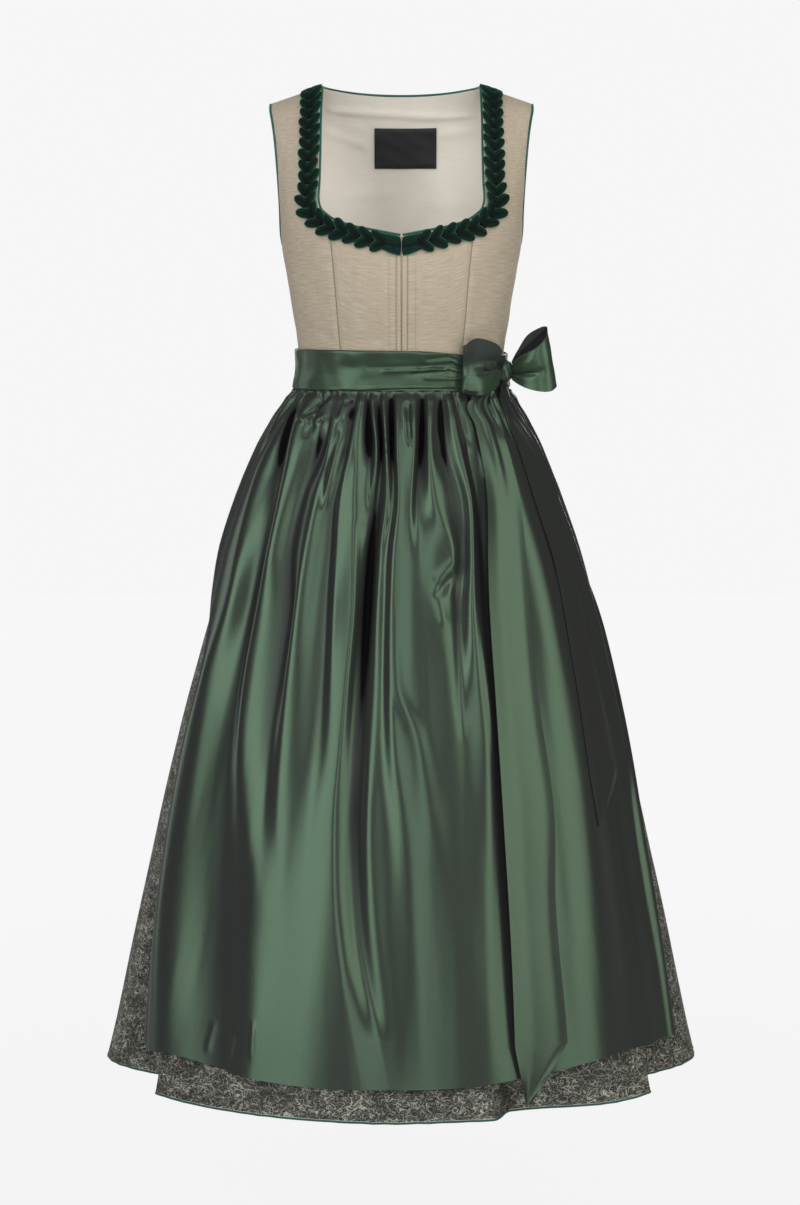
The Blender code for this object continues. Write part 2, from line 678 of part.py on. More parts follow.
def neck_path():
    """The neck edge from the centre front, up the left strap, round the back and down the right."""
    bottom_x = np.array([0.0, 0.0145, 0.029, 0.045, 0.060, 0.072, 0.084, NECK_BOTTOM["x"][-1]])
    bottom_x[0] = SEAM_GAP / 2 + 0.0002
    bottom = np.stack([bottom_x, neck_bottom_drop(bottom_x)], -1)
    strap_drop = np.array([0.144, 0.120, 0.095, 0.070, 0.045, 0.025, 0.011, 0.003])
    strap = np.stack([strap_x(strap_drop), strap_drop], -1)
    front = np.concatenate([bottom, strap])
    front_angle = torso_angle(front[:, 0], front[:, 1])
    points, out = torso(front_angle, front[:, 1]), normals(torso, front_angle, front[:, 1])
    turn = np.radians(np.linspace(0, 90, 9))
    x = NECK_HALF * np.cos(turn)
    back = np.stack([x, NECK_BACK_DEPTH * np.sin(turn), -NECK_BACK_FALL * np.sin(turn) ** 2], -1)
    back_out = np.stack([0 * x, np.sin(turn), np.cos(turn) + 0.2], -1)
    back_out = back_out / np.linalg.norm(back_out, axis=-1, keepdims=True)
    path = np.concatenate([points, back])
    out = np.concatenate([out, back_out])
    path = path - out * BODICE_WALL / 2
    mirror = np.array([-1, 1, 1])
    return np.concatenate([path, path[-2::-1] * mirror]), np.concatenate([out, out[-2::-1] * mirror])


def build_pipings():
    path, out = neck_path()
    tube("neck_piping", "piping", path, out, PIPING_RADIUS)
    levels = np.array([0.0, 0.003, 0.010, 0.025, 0.050, 0.085, 0.120, 0.150, 0.175])
    front_edge = armhole_angle(levels, True, piping=True)
    back_edge = armhole_angle(levels, False, piping=True)
    front, front_out = torso(front_edge, levels), normals(torso, front_edge, levels)
    back, back_out = torso(back_edge, levels), normals(torso, back_edge, levels)
    bottom = torso(np.array([math.pi / 2]), np.array([ARMHOLE_DROP]))
    bottom_out = np.array([[1.0, 0.0, 0.0]])
    front_out[0] = (0, 0, 1)
    path = np.concatenate([bottom, front[::-1], back[1:]])
    out = np.concatenate([bottom_out, front_out[::-1], back_out[1:]])
    path = path - out * BODICE_WALL / 2
    for side, name in ((1, "armhole_piping_left"), (-1, "armhole_piping_right")):
        mirror = np.array([side, 1, 1])
        tube(name, "piping", path * mirror, out * mirror, PIPING_RADIUS, closed=True)


def build_trim(side):
    share = np.array([0, 0.5, 1.0])
    x = TRIM["inner_x"][:, None] + (TRIM["outer_x"] - TRIM["inner_x"])[:, None] * share
    drop = TRIM["inner_drop"][:, None] + (TRIM["outer_drop"] - TRIM["inner_drop"])[:, None] * share
    angle = side * torso_angle(x, drop)
    name = "neck_trim_" + ("left" if side > 0 else "right")
    points = torso(angle, drop)
    out = normals(torso, angle, drop)
    inner = points + out * (SEAM_GAP + 2 * OVER_FACETS)
    wall(name, "velvet", inner + out * TRIM["thickness"][:, None, None], inner)


# ------------------------------------------------------------------ skirt, apron and bow
def skirt_rows():
    return np.array([WAIST_DROP + SEAM_GAP, *SKIRT_ROWS, APRON_HEM, HEM_DROP - PIPING_GAP + 0.0002])


def fold_columns(first, last, count):
    """Angles from first to last, drawn together where a fold turns under."""
    even = np.linspace(first, last, count * 12)
    density = np.ones_like(even)
    for edge, side, width in zip(SKIRT_FOLDS["edge"], SKIRT_FOLDS["side"], SKIRT_FOLDS["width"]):
        for lap in (-360, 0, 360):
            middle = edge + lap + side * width * FOLD_LIP / 2
            density += 4.0 * np.exp(-(((even - middle) / (width * FOLD_LIP)) ** 2))
    walked = np.concatenate([[0], np.cumsum((density[1:] + density[:-1]) / 2)])
    return np.interp(np.linspace(0, walked[-1], count + 1), walked, even)


def build_skirt(name, first_deg, last_deg, count):
    gap = math.degrees(SEAM_GAP / 2 / SKIRT["side"][0])
    columns = np.radians(fold_columns(first_deg + gap, last_deg - gap, count))
    angle, drop = np.meshgrid(columns, skirt_rows())
    panel("skirt_" + name, "jacquard", skirt, angle, drop, SKIRT_WALL)
    at_hem = np.full(columns.shape, HEM_DROP)
    out = normals(skirt, columns, at_hem)
    path = skirt(columns, at_hem) - out * SKIRT_WALL / 2
    tube("hem_piping_" + name, "piping", path, out, HEM_PIPING_RADIUS)


def build_apron():
    rows = np.array([APRON_TOP, *SKIRT_ROWS, APRON_HEM])
    right = smooth(APRON_EDGE["drop"], APRON_EDGE["right"], rows)[:, None]
    left = smooth(APRON_EDGE["drop"], APRON_EDGE["left"], rows)[:, None]
    angle = np.radians(right + (left - right) * np.linspace(0, 1, APRON_COLUMNS + 1))
    drop = np.repeat(rows[:, None], APRON_COLUMNS + 1, 1)
    drop[-1] = smooth(APRON_HEM_LINE["degrees"], APRON_HEM_LINE["drop"], np.degrees(angle[-1]))
    panel("apron_panel", "satin", apron, angle, drop, APRON_WALL)


def build_bands():
    rows = np.array([0.0, TORSO_ROWS[-1], WAIST_DROP, BAND_BOTTOM])
    gap = math.degrees(SEAM_GAP / SKIRT["side"][0])
    spans = (
        ("apron_band", -BAND_END_DEG, BAND_END_DEG, BAND_COLUMNS),
        ("waist_tie_back", BAND_END_DEG + gap, 360 - BAND_END_DEG - gap, TIE_COLUMNS),
    )
    for name, first, last, count in spans:
        degrees, drop = np.meshgrid(np.linspace(first, last, count + 1), rows)
        drop[0] = smooth(BAND_TOP_LINE["degrees"], BAND_TOP_LINE["drop"], degrees[0])
        angle = np.radians(degrees)
        panel(name, "satin", waist, angle, drop, BAND_WALL, BAND_STAND + BAND_WALL)


def build_knot():
    """A small wrapped knot, rounded like a bead, turned to follow the waist."""
    shaped = bmesh.new()
    bmesh.ops.create_uvsphere(shaped, u_segments=12, v_segments=8, radius=1.0)
    out = level_outward(math.radians(KNOT_DEG), KNOT_DROP)
    across = np.array([-out[1], out[0], 0.0])
    stand = BAND_STAND + BAND_WALL + SEAM_GAP + KNOT_HALF[1]
    middle = waist(math.radians(KNOT_DEG), KNOT_DROP) + out * stand
    points = []
    for vertex in shaped.verts:
        x, y, z = (signed_power(value, 0.8) * half for value, half in zip(vertex.co, KNOT_HALF))
        points.append(middle + across * x + out * y + np.array([0.0, 0.0, z]))
    faces = [tuple(vertex.index for vertex in face.verts) for face in shaped.faces]
    shaped.free()
    solid("bow_knot", "satin", points, faces)


def build_loop(name, rows):
    station = np.arange(len(rows["y"]), dtype=float)
    at = np.linspace(0, station[-1], 2 * len(station) - 1)
    column = {key: smooth(station, values, at) for key, values in rows.items()}
    top = np.stack([column["x_top"], column["y"], -column["top"]], -1)
    bottom = np.stack([column["x_bottom"], column["y"], -column["bottom"]], -1)
    ribbon(name, "satin", top, bottom, RIBBON_WALL)


def build_tail(name, rows, tip):
    drops = np.concatenate([rows["drop"], [tip[0]]])
    inner = np.radians(np.concatenate([rows["inner"], [tip[1]]]))
    outer = np.radians(np.concatenate([rows["outer"], [tip[2]]]))
    stand = np.concatenate([rows["stand"], [tip[3]]])
    share = np.linspace(0, 1, 4)
    angle = inner[:, None] + (outer - inner)[:, None] * share
    drop = np.repeat(drops[:, None], len(share), 1)
    out = level_outward(angle, drop)
    points = waist(angle, drop) + out * stand[:, None, None]
    wall(name, "satin", points + out * RIBBON_WALL, points)


def main():
    for old in list(bpy.data.objects):
        bpy.data.objects.remove(old)
    for side in (1, -1):
        build_centre_front(side)
        build_side_front(side)
        build_trim(side)
    build_back()
    build_label()
    build_pipings()
    build_skirt("front", -90, 90, SKIRT_FRONT_COLUMNS)
    build_skirt("back", 90, 270, SKIRT_BACK_COLUMNS)
    build_apron()
    build_bands()
    build_knot()
    build_loop("bow_loop_inner", LOOP_INNER)
    build_loop("bow_loop_outer", LOOP_OUTER)
    build_tail("bow_tail_long", TAIL_LONG, TAIL_LONG_TIP)
    build_tail("bow_tail_short", TAIL_SHORT, TAIL_SHORT_TIP)


main()
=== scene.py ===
"""Looks of the dirndl: fine cloth, leaf trim, gathers, bow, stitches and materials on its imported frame.

Heights are the drop below the shoulder points and places round the body are degrees from the centre
front, positive to the wearer's left (+X). The front faces -Y. Lengths are in metres.
"""

import json
import math

import bpy
import numpy as np
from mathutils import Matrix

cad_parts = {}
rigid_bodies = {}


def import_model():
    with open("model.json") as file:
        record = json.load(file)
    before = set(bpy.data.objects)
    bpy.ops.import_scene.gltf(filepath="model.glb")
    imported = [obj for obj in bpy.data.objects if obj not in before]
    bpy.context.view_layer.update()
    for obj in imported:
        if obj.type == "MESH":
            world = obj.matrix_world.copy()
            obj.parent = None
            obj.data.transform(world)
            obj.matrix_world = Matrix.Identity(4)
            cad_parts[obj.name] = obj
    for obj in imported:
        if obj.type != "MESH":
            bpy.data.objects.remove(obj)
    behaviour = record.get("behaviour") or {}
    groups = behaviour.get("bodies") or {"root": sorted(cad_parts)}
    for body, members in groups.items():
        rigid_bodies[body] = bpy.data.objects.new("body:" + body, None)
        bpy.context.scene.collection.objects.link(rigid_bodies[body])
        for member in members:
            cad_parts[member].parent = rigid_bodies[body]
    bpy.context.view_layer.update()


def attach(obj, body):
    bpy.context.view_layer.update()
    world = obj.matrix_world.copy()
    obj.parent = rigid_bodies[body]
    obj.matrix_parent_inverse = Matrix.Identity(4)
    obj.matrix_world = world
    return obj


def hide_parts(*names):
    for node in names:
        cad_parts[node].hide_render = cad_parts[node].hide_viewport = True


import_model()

# ------------------------------------------------------------------ dimensions shared with the frame
BODICE_WALL = 0.0015
LINING_WALL = 0.0009
SKIRT_WALL = 0.0012
RIBBON_WALL = 0.0012
PIPING_RADIUS = 0.0014
HEM_PIPING_RADIUS = 0.0013
SEAM_GAP = 0.0003
PIPING_GAP = 0.0018
NECK_CORNER_GAP = 0.0006
OVER_FACETS = 0.0004
SHOULDER_HALF = 0.1560
SHOULDER_FALL = 0.0211
SHOULDER_FADE = 0.16
NECK_HALF = 0.0935
NECK_BACK_DEPTH = 0.0650
NECK_BACK_FALL = 0.0065
NECK_BACK_FADE = 0.08
NECK_BACK_BLEND = 0.12
ARMHOLE_DROP = 0.1900
UNDERARM_START = 0.1400
UNDERARM_LESS = 0.0013
UNDERARM_GAP = 0.0006
WAIST_DROP = 0.3525
TIE_BOTTOM = 0.3568  # the tie over the waistband
BAND_BOTTOM = 0.3600
BAND_STAND = SEAM_GAP + 2.5 * OVER_FACETS
APRON_TOP = BAND_BOTTOM + SEAM_GAP
APRON_HEM = 1.1430
HEM_DROP = 1.1830
TORSO_ROUND = 2.35
RIDGE_BACK_OFF = 0.00035
TAIL_HALF_WALL = 0.0005
RIBBON_WIDTH = 0.062  # of the loops' cloth coordinates
TAIL_OFF = 0.0014  # a tail's middle over the cloth it lies on
TIE_DEPTH = 0.0052  # the tie's outer face over the waist
FRONT_BAND_END = 100  # degrees, where the front and the back of the band meet
NECK_CORNER_DROP = 0.149
NECK_CORNER_EDGE = 0.09415  # the side front's edge right under the corner
HEM_CORD_OFF = 0.0016
SATIN_TURN = 0.25
WORD = {1: "left", -1: "right"}


def table(names, rows):
    """A short table as arrays, one for each named column."""
    return dict(zip(names.split(), np.array(rows, float).T))


# Half-width at the panels' edge, depth in front of and behind the mid-plane, and the angle at which
# the front and the back panel end at the armhole (90 is the side seam).
TORSO = table("drop side front back edge_front edge_back", [
    (0, 0.156, 0, 0, 52, 54), (0.003, 0.156, 0.018, 0.02, 54, 56), (0.01, 0.1555, 0.034, 0.038, 56, 58),
    (0.025, 0.153, 0.053, 0.058, 58, 60), (0.05, 0.15, 0.071, 0.075, 60, 63),
    (0.085, 0.1474, 0.088, 0.088, 64, 66), (0.12, 0.1456, 0.101, 0.095, 70, 70),
    (0.15, 0.1446, 0.11, 0.097, 77, 76), (0.175, 0.1444, 0.1155, 0.096, 84, 82.5),
    (0.19, 0.143, 0.1175, 0.0945, 90, 90), (0.215, 0.1386, 0.118, 0.092, 90, 90),
    (0.245, 0.1337, 0.115, 0.089, 90, 90), (0.275, 0.129, 0.108, 0.086, 90, 90),
    (0.305, 0.1246, 0.099, 0.084, 90, 90), (0.32, 0.1232, 0.0955, 0.0836, 90, 90),
    (0.335, 0.1232, 0.093, 0.0835, 90, 90), (WAIST_DROP, 0.1262, 0.092, 0.084, 90, 90),
])
# The skirt's smooth form, without its folds.
SKIRT = table("drop side front back round", [
    (WAIST_DROP, 0.1262, 0.092, 0.084, TORSO_ROUND), (0.372, 0.1305, 0.0965, 0.0885, 2.3),
    (0.397, 0.143, 0.107, 0.0985, 2.24), (0.421, 0.1555, 0.117, 0.1085, 2.2),
    (0.4455, 0.1655, 0.125, 0.1165, 2.17), (0.494, 0.184, 0.1395, 0.131, 2.12),
    (0.543, 0.2025, 0.1525, 0.144, 2.08), (0.592, 0.219, 0.1635, 0.156, 2.05),
    (0.641, 0.234, 0.174, 0.167, 2.03), (0.74, 0.2625, 0.195, 0.189, 2.01), (0.84, 0.288, 0.215, 0.209, 2),
    (0.94, 0.3105, 0.233, 0.228, 2), (1.04, 0.333, 0.251, 0.246, 2), (1.143, 0.3552, 0.2695, 0.2635, 2),
    (HEM_DROP, 0.3645, 0.277, 0.27, 2),
])
# The neck edge on the strap, from the shoulder to the corner, and along the bottom to the centre.
NECK_STRAP = table("drop x", [
    (0, NECK_HALF), (0.04, 0.0945), (0.08, 0.0948), (0.115, 0.0955), (0.144, 0.0955), (0.149, 0.0935),
])
NECK_BOTTOM = table("x drop", [
    (0, 0.1785), (0.029, 0.173), (0.06, 0.1665), (0.08, 0.159), (0.0935, 0.149),
])
PRINCESS = table("drop x", [
    (0.1535, 0.094), (0.169, 0.0872), (0.184, 0.0832), (0.215, 0.0803), (0.275, 0.0752), (0.305, 0.0728),
    (WAIST_DROP, 0.0702),
])
# The inner and the outer edge of the trim beside the centre front.
TRIM_END = table("inner_x inner_drop outer_x outer_drop", [
    (0.0004, 0.181, 0.0004, 0.2031), (0.021, 0.1773, 0.0155, 0.2018), (0.041, 0.1734, 0.032, 0.199),
])
# Where the skirt turns under itself: the angle of the fold's edge, the side it turns to, how deep it
# is at the hem, how far round it takes to come out again, and the drop where it starts.
SKIRT_FOLDS = table("edge side depth width start", [
    (-52.6, -1, 0.052, 35, 0.36), (16.7, 1, 0.028, 32, 0.6), (53.6, 1, 0.044, 36, 0.36),
    (99, 1, 0.034, 28, 0.42), (131, 1, 0.04, 30, 0.38), (163, 1, 0.032, 26, 0.46),
    (-99, -1, 0.036, 24, 0.4), (-126, -1, 0.044, 30, 0.38), (-159, -1, 0.034, 26, 0.44),
])
# Long soft ridges and troughs of the skirt's back: degrees at the waist and at the hem, half-width in
# degrees at the waist, height in mm, and the drops where each starts and ends.
BACK_CREASES = table("top low half mm start end", [
    (109, 106, 2.2, 7, 0.36, 0.98), (120, 117, 1.8, -6, 0.37, 0.8), (141, 144, 2.4, 8, 0.36, 1.16),
    (149, 152, 1.8, -7, 0.4, 1.02), (172, 170, 2.6, 10, 0.36, 1.3), (181, 180, 1.8, -9, 0.38, 0.95),
    (190, 193, 2.2, 8, 0.36, 1.1), (205, 207, 2, -7, 0.42, 1.3), (214, 217, 2.4, 9, 0.36, 0.9),
    (223, 225, 1.6, -6, 0.4, 1.05), (246, 249, 2.6, 9, 0.36, 1.25), (254, 256, 1.8, -6, 0.36, 0.85),
])
FOLD_LIP = 0.16  # share of a fold's width over which its edge falls away
# The apron's side edges.
APRON_EDGE = table("drop right left", [
    (APRON_TOP, -98, 98), (0.5, -95, 95), (0.6, -82, 88), (0.68, -71, 81), (0.76, -67.5, 76),
    (0.85, -66, 71), (0.95, -65.5, 68.5), (1.04, -63.5, 67), (APRON_HEM, -59.5, 65),
])
# The apron's hem hangs higher at its sides.
APRON_HEM_LINE = table("degrees drop", [
    (-62, 1.133), (-56, 1.132), (-48, 1.127), (-38, 1.133), (-29, 1.1385), (-18, 1.142), (0, APRON_HEM),
    (12, 1.1415), (21, 1.1385), (31, 1.131), (42, 1.125), (52, 1.126), (66, 1.126),
])
# The band's top edge, which dips towards the bow.
BAND_TOP_LINE = table("degrees drop", [
    (-100, 0.3105), (-20, 0.3108), (10, 0.312), (35, 0.3165), (60, 0.3175), (100, 0.315), (150, 0.311),
    (260, 0.3105),
])
# The bow's tails lie over the apron: their edges down their length.
TAIL_LONG = table("drop inner outer", [
    (0.345, 57, 60.5), (0.356, 45, 52), (0.368, 34, 45.5), (0.4, 32, 45), (0.469, 30.3, 44.5),
    (0.552, 26.8, 40.9), (0.714, 24.2, 36.8), (0.84, 23, 36), (0.94, 22.4, 33.4), (1.1, 21.2, 32.1),
])
TAIL_LONG_TIP = (1.165, 22.6, 23.4)
TAIL_SHORT = table("drop inner outer", [
    (0.3514, 61, 69), (0.364, 57, 72), (0.39, 53, 71.5), (0.42, 52.6, 71), (0.49, 53, 70.5),
    (0.56, 54.4, 69.5), (0.65, 51.6, 65.5), (0.75, 49.4, 63.5), (0.808, 48.6, 63),
])
TAIL_SHORT_TIP = (0.865, 48.8, 49.8)
# The bow's loops: a ribbon stood on edge, from the front of the knot, round its tip and back.
LOOP_INNER = table("x_top x_bottom y top bottom", [
    (0.1188, 0.1184, -0.0587, 0.312, 0.344), (0.111, 0.11, -0.0745, 0.304, 0.356),
    (0.095, 0.096, -0.092, 0.298, 0.363), (0.084, 0.083, -0.099, 0.2985, 0.3635),
    (0.0755, 0.074, -0.101, 0.3045, 0.361), (0.073, 0.071, -0.097, 0.306, 0.3595),
    (0.0745, 0.0735, -0.0925, 0.306, 0.359), (0.086, 0.086, -0.087, 0.304, 0.359),
    (0.099, 0.099, -0.077, 0.307, 0.357), (0.1166, 0.1166, -0.0574, 0.326, 0.347),
])
LOOP_OUTER = table("x_top x_bottom y top bottom", [
    (0.1319, 0.1319, -0.0518, 0.326, 0.347), (0.144, 0.1455, -0.065, 0.3105, 0.3555),
    (0.157, 0.162, -0.071, 0.298, 0.36), (0.168, 0.176, -0.069, 0.287, 0.36),
    (0.1715, 0.1835, -0.06, 0.284, 0.3545), (0.165, 0.178, -0.05, 0.285, 0.356),
    (0.15, 0.16, -0.044, 0.294, 0.358), (0.139, 0.142, -0.04, 0.311, 0.354),
    (0.1316, 0.1316, -0.0436, 0.326, 0.347),
])
# The knot: its angle round the waist, its drop, and half its width, thickness and height.
KNOT_DEG = 65.0
KNOT_DROP = 0.3375
KNOT_HALF = (0.0095, 0.0075, 0.0130)

# ------------------------------------------------------------------ form of the dress
def through(knots, values, slope, at):
    """The cubic curve through the values at the knots with these slopes there."""
    at = np.clip(at, knots[0], knots[-1])
    i = np.clip(np.searchsorted(knots, at, side="right") - 1, 0, len(knots) - 2)
    step = knots[i + 1] - knots[i]
    u = (at - knots[i]) / step
    return (
        (1 + 2 * u) * (1 - u) ** 2 * values[i]
        + u * (1 - u) ** 2 * step * slope[i]
        + u * u * (3 - 2 * u) * values[i + 1]
        + u * u * (u - 1) * step * slope[i + 1]
    )


def smooth(knots, values, at):
    """A smooth curve through the values at the knots."""
    return through(knots, values, np.gradient(values, knots), at)


def ease(u):
    """0 to 1, level at both ends."""
    u = np.clip(u, 0.0, 1.0)
    return u * u * (3 - 2 * u)


def signed_power(value, exponent):
    return np.sign(value) * np.abs(value) ** exponent


def unit(vectors):
    return vectors / np.maximum(np.linalg.norm(vectors, axis=-1, keepdims=True), 1e-12)


def bell(off, half, sharp=1.0):
    """1 in the middle, falling away smoothly on both sides."""
    return np.exp(-sharp * (off / half) ** 2)


def walked(points):
    """Length along a line of points, from its first one."""
    return np.concatenate([[0], np.cumsum(np.linalg.norm(np.diff(points, axis=0), axis=-1))])


def drawn_together(even, density, count):
    """So many places between the first and the last, closest where the density is highest."""
    reached = np.concatenate([[0], np.cumsum((density[1:] + density[:-1]) / 2)])
    return np.interp(np.linspace(0, reached[-1], count), reached, even)


def torso_row(drop):
    """The torso's columns at a drop. Depths grow as its square root at the shoulder ridge."""
    at = np.sqrt(np.maximum(drop, 0.0))
    row = {name: smooth(np.sqrt(TORSO["drop"]), TORSO[name], at) for name in TORSO if name != "drop"}
    for name in ("edge_front", "edge_back"):
        row[name] = np.where(drop >= ARMHOLE_DROP, 90.0, np.minimum(row[name], 90.0))
    return row


def torso_reach(row, front):
    """Half-width of the whole section, of which the panels take the part up to their edge."""
    edge = np.radians(np.where(front, row["edge_front"], row["edge_back"]))
    return row["side"] / np.sin(edge) ** (2 / TORSO_ROUND)


def torso(angle, drop):
    """Points of the torso's surface. Angles are from the centre front, up to pi at the centre back."""
    angle, drop = np.broadcast_arrays(np.asarray(angle, float), np.asarray(drop, float))
    row = torso_row(drop)
    front = np.cos(angle) >= 0
    power = 2 / TORSO_ROUND
    x = torso_reach(row, front) * signed_power(np.sin(angle), power)
    depth = np.where(front, row["front"], row["back"])
    y = depth * np.abs(np.cos(angle)) ** power
    across_neck = np.clip(1 - (x / NECK_HALF) ** 2, 0, 1)
    neck = NECK_BACK_DEPTH * np.sqrt(across_neck) * (1 - ease(drop / NECK_BACK_BLEND))
    y = np.where(front, -y, np.cbrt(y**3 + neck**3))
    beyond_neck = np.clip((np.abs(x) - NECK_HALF) / (SHOULDER_HALF - NECK_HALF), 0, None)
    fall = SHOULDER_FALL * beyond_neck * (1 - ease(drop / SHOULDER_FADE))
    dip = np.where(front, 0.0, NECK_BACK_FALL * across_neck * (1 - ease(drop / NECK_BACK_FADE)))
    return np.stack([x, y, -drop - fall - dip], -1)


def torso_angle(x, drop, front=True):
    """The angle at which the torso's section has this x."""
    share = np.clip(x / torso_reach(torso_row(drop), front), -1, 1)
    angle = np.arcsin(signed_power(share, TORSO_ROUND / 2))
    return angle if front else math.pi - angle


def skirt_base(angle, drop):
    """Points of the skirt's smooth form."""
    angle, drop = np.broadcast_arrays(np.asarray(angle, float), np.asarray(drop, float))
    row = {name: smooth(SKIRT["drop"], SKIRT[name], drop) for name in SKIRT if name != "drop"}
    power = 2 / row["round"]
    depth = np.where(np.cos(angle) >= 0, row["front"], row["back"])
    x = row["side"] * signed_power(np.sin(angle), power)
    return np.stack([x, -depth * signed_power(np.cos(angle), power), -drop], -1)


def level_outward(angle, drop):
    """The horizontal direction out of the skirt's smooth form."""
    step = 1e-3
    along = skirt_base(angle + step, drop) - skirt_base(angle - step, drop)
    return unit(np.stack([along[..., 1], -along[..., 0], 0 * along[..., 0]], -1))


def waist(angle, drop):
    """The surface under the band: the torso down to the waist seam, then the skirt."""
    drop = np.asarray(drop, float)
    above = (drop <= WAIST_DROP)[..., None]
    return np.where(above, torso(angle, np.minimum(drop, WAIST_DROP)), skirt_base(angle, drop))


def skirt_recess(angle, drop):
    """How far the skirt's folds go in."""
    degrees = np.degrees(angle)
    total = np.zeros(np.broadcast(degrees, drop).shape)
    for edge, side, depth, width, start in zip(*SKIRT_FOLDS.values()):
        into = ((degrees - edge + 180) % 360 - 180) * side / width
        out_again = 1 - ease((into - FOLD_LIP) / (1 - FOLD_LIP))
        shape = np.where(into > 0, ease(into / FOLD_LIP) * out_again, 0)
        total = total + depth * shape * np.clip((drop - start) / (HEM_DROP - start), 0, 1)
    return total


def skirt(angle, drop):
    return skirt_base(angle, drop) - level_outward(angle, drop) * skirt_recess(angle, drop)[..., None]


# ------------------------------------------------------------------ creases of the cloth
# The apron's long folds run from the waist to the hem. Each row gives a crest's or a valley's degrees at
# these drops, then its height in mm, from the wearer's right edge to the left.
FOLD_DROPS = np.array((0.37, 0.42, 0.48, 0.54, 0.6, 0.68, 0.76, 0.84, 0.92, 1, 1.08, 1.14))
APRON_FOLDS = (
    ((-72, -69, -64, -60, -57, -59.5, -62, -61.5, -60, -57, -53, -51),
     (2, 6, 13, 16, 17, 18, 19, 20, 20, 19, 17, 15)),
    ((-63, -56, -52, -49.5, -49, -48, -46, -43.7, -42, -40, -38.2, -37.3),
     (-2, -3, -1, 0, 0, 0, 0, 0, 0, 0, 1, 2)),
    ((-54, -48, -46.5, -46, -45, -44.5, -42.5, -38, -32, -30, -28.5, -27.5),
     (3, 6, 7, 7, 6, 6, 6, 7, 9, 10, 11, 10)),
    ((-33, -32.5, -37.5, -38, -34.5, -34, -33.5, -31.5, -29, -27.2, -25.6, -24.4),
     (-2, -5, -5, -5, -5, -4, -1, 4, 9, 10, 11, 10)),
    ((-29.5, -28.5, -30.6, -31.3, -31.3, -31, -30.3, -29.4, -27.4, -25.5, -24, -22.8),
     (2, 3, 2, 3, 4, 4, 5, 7, 9, 10, 10.5, 10)),
    ((-20.6, -21, -24, -23, -22.3, -21.3, -20.8, -21.2, -21.8, -20.5, -19.3, -18.2),
     (-2, -3, -6, -7, -7, -6, -3, 2, 6.5, 9, 10, 9.5)),
    ((-17.6, -18.4, -21, -20.5, -19.6, -18.6, -17.8, -17.4, -16.4, -15.2, -14.3, -13.6),
     (4, 5, 1, -1, -1, -1, 0, 4, 8.5, 10.5, 11, 10)),
    ((-15.9, -16.3, -16.4, -14.9, -13.7, -14, -14.1, -14, -12.4, -10.5, -7, -4.8),
     (3, 4, 2, 0, -1, 0, 1, 4, 8, 10, 8.5, 7)),
    ((-14, -11.4, -11.4, -12.2, -12.2, -12.8, -13, -12.7, -11.2, -9.1, -6.1, -4),
     (-2, -5, -6, -8, -9, -8, -7, -4, 0, 4, 5, 6)),
    ((-12, -8.6, -9.4, -10, -10.7, -11.6, -12.2, -11.8, -10.5, -8.3, -5.4, -3.1),
     (3, 4, -2, -11, -12, -11, -9, -6, -2, 2, 4.6, 5.8)),
    ((-8.8, -7, -7.6, -8.7, -9.6, -10.4, -11, -10.7, -9.7, -7.6, -4.8, -2.4),
     (-2, -6, -9, -11, -12, -10, -8, -5, -2, 2, 4.5, 5.7)),
    ((-6.8, -5.2, -4.4, -6.4, -7.2, -8, -8.6, -8.2, -7.3, -5, -2, -0.3),
     (3, 5, 2, -3, -3, -2, -1, 1, 2.5, 4, 5.5, 6.5)),
    ((-3.4, -2.9, -2.4, -4.4, -4.9, -5, -4.8, -3.6, -2.8, -1.6, 0.2, 1.8),
     (-3, -6, -3, -3, -3, -2, -1.5, 0, 2, 4, 6, 6.5)),
    ((-1.6, -1.5, -1, -2, -2.6, -2.7, -1.6, 0.6, 2.2, 2.6, 2.8, 3.4),
     (3, 5, 5, 3, 3, 4, 5, 7, 8, 9, 8.5, 7.5)),
    ((4.8, 4, 3, 2, 1.8, 2, 3, 5, 6, 6, 6.5, 7), (4, 5, 4, 3, 2.5, 3.5, 4.6, 6.3, 7.4, 8.5, 8.2, 7.2)),
    ((8.2, 6.9, 4.8, 5.5, 6.5, 7, 7.6, 8.4, 9.2, 9.4, 9.6, 9.8),
     (-3, -6, -4, 1, 0, 1, 2.5, 4.5, 6, 7.4, 7.6, 6.8)),
    ((10.8, 9.6, 10.5, 15.6, 13, 12, 11.8, 12, 12, 12, 12, 12),
     (3, 4, 4, 1, -3, -1, 1, 3, 4.8, 6.4, 7, 6.3)),
    ((17.4, 15.2, 20.2, 19.6, 17.2, 15.8, 16, 15.8, 15.4, 15, 14.8, 14.6),
     (-3, -6, -6, -8, -8, -3, -1, 1.5, 3.5, 5.4, 6.4, 5.8)),
    ((20.5, 21.6, 23.8, 22.2, 20.6, 20.4, 21, 20.5, 19.4, 18.4, 17.8, 17.4),
     (3, 4, 4, 3, 2, 2, 1.5, 2, 3, 4.4, 5.4, 5)),
    ((29.5, 27, 27.4, 26.6, 26, 25.4, 24.4, 23.4, 22.7, 22, 21.4, 21.1),
     (-3, -6, -9, -10, -9, -8, -7, -6, -5, -3, -1, 1)),
    ((47, 46.5, 46.2, 46.6, 47.4, 48, 47, 45.8, 44.4, 42.6, 40.6, 39),
     (2, 4, 7, 9, 10, 10, 10, 10.5, 11, 11, 10, 9)),
    ((57.5, 57.5, 57.7, 58.3, 59, 59.2, 58, 56.5, 55, 53.4, 51.6, 50),
     (-1, 0, 1, 1, 0, -1, -2, -3, -3, -2, -1, 0)),
)
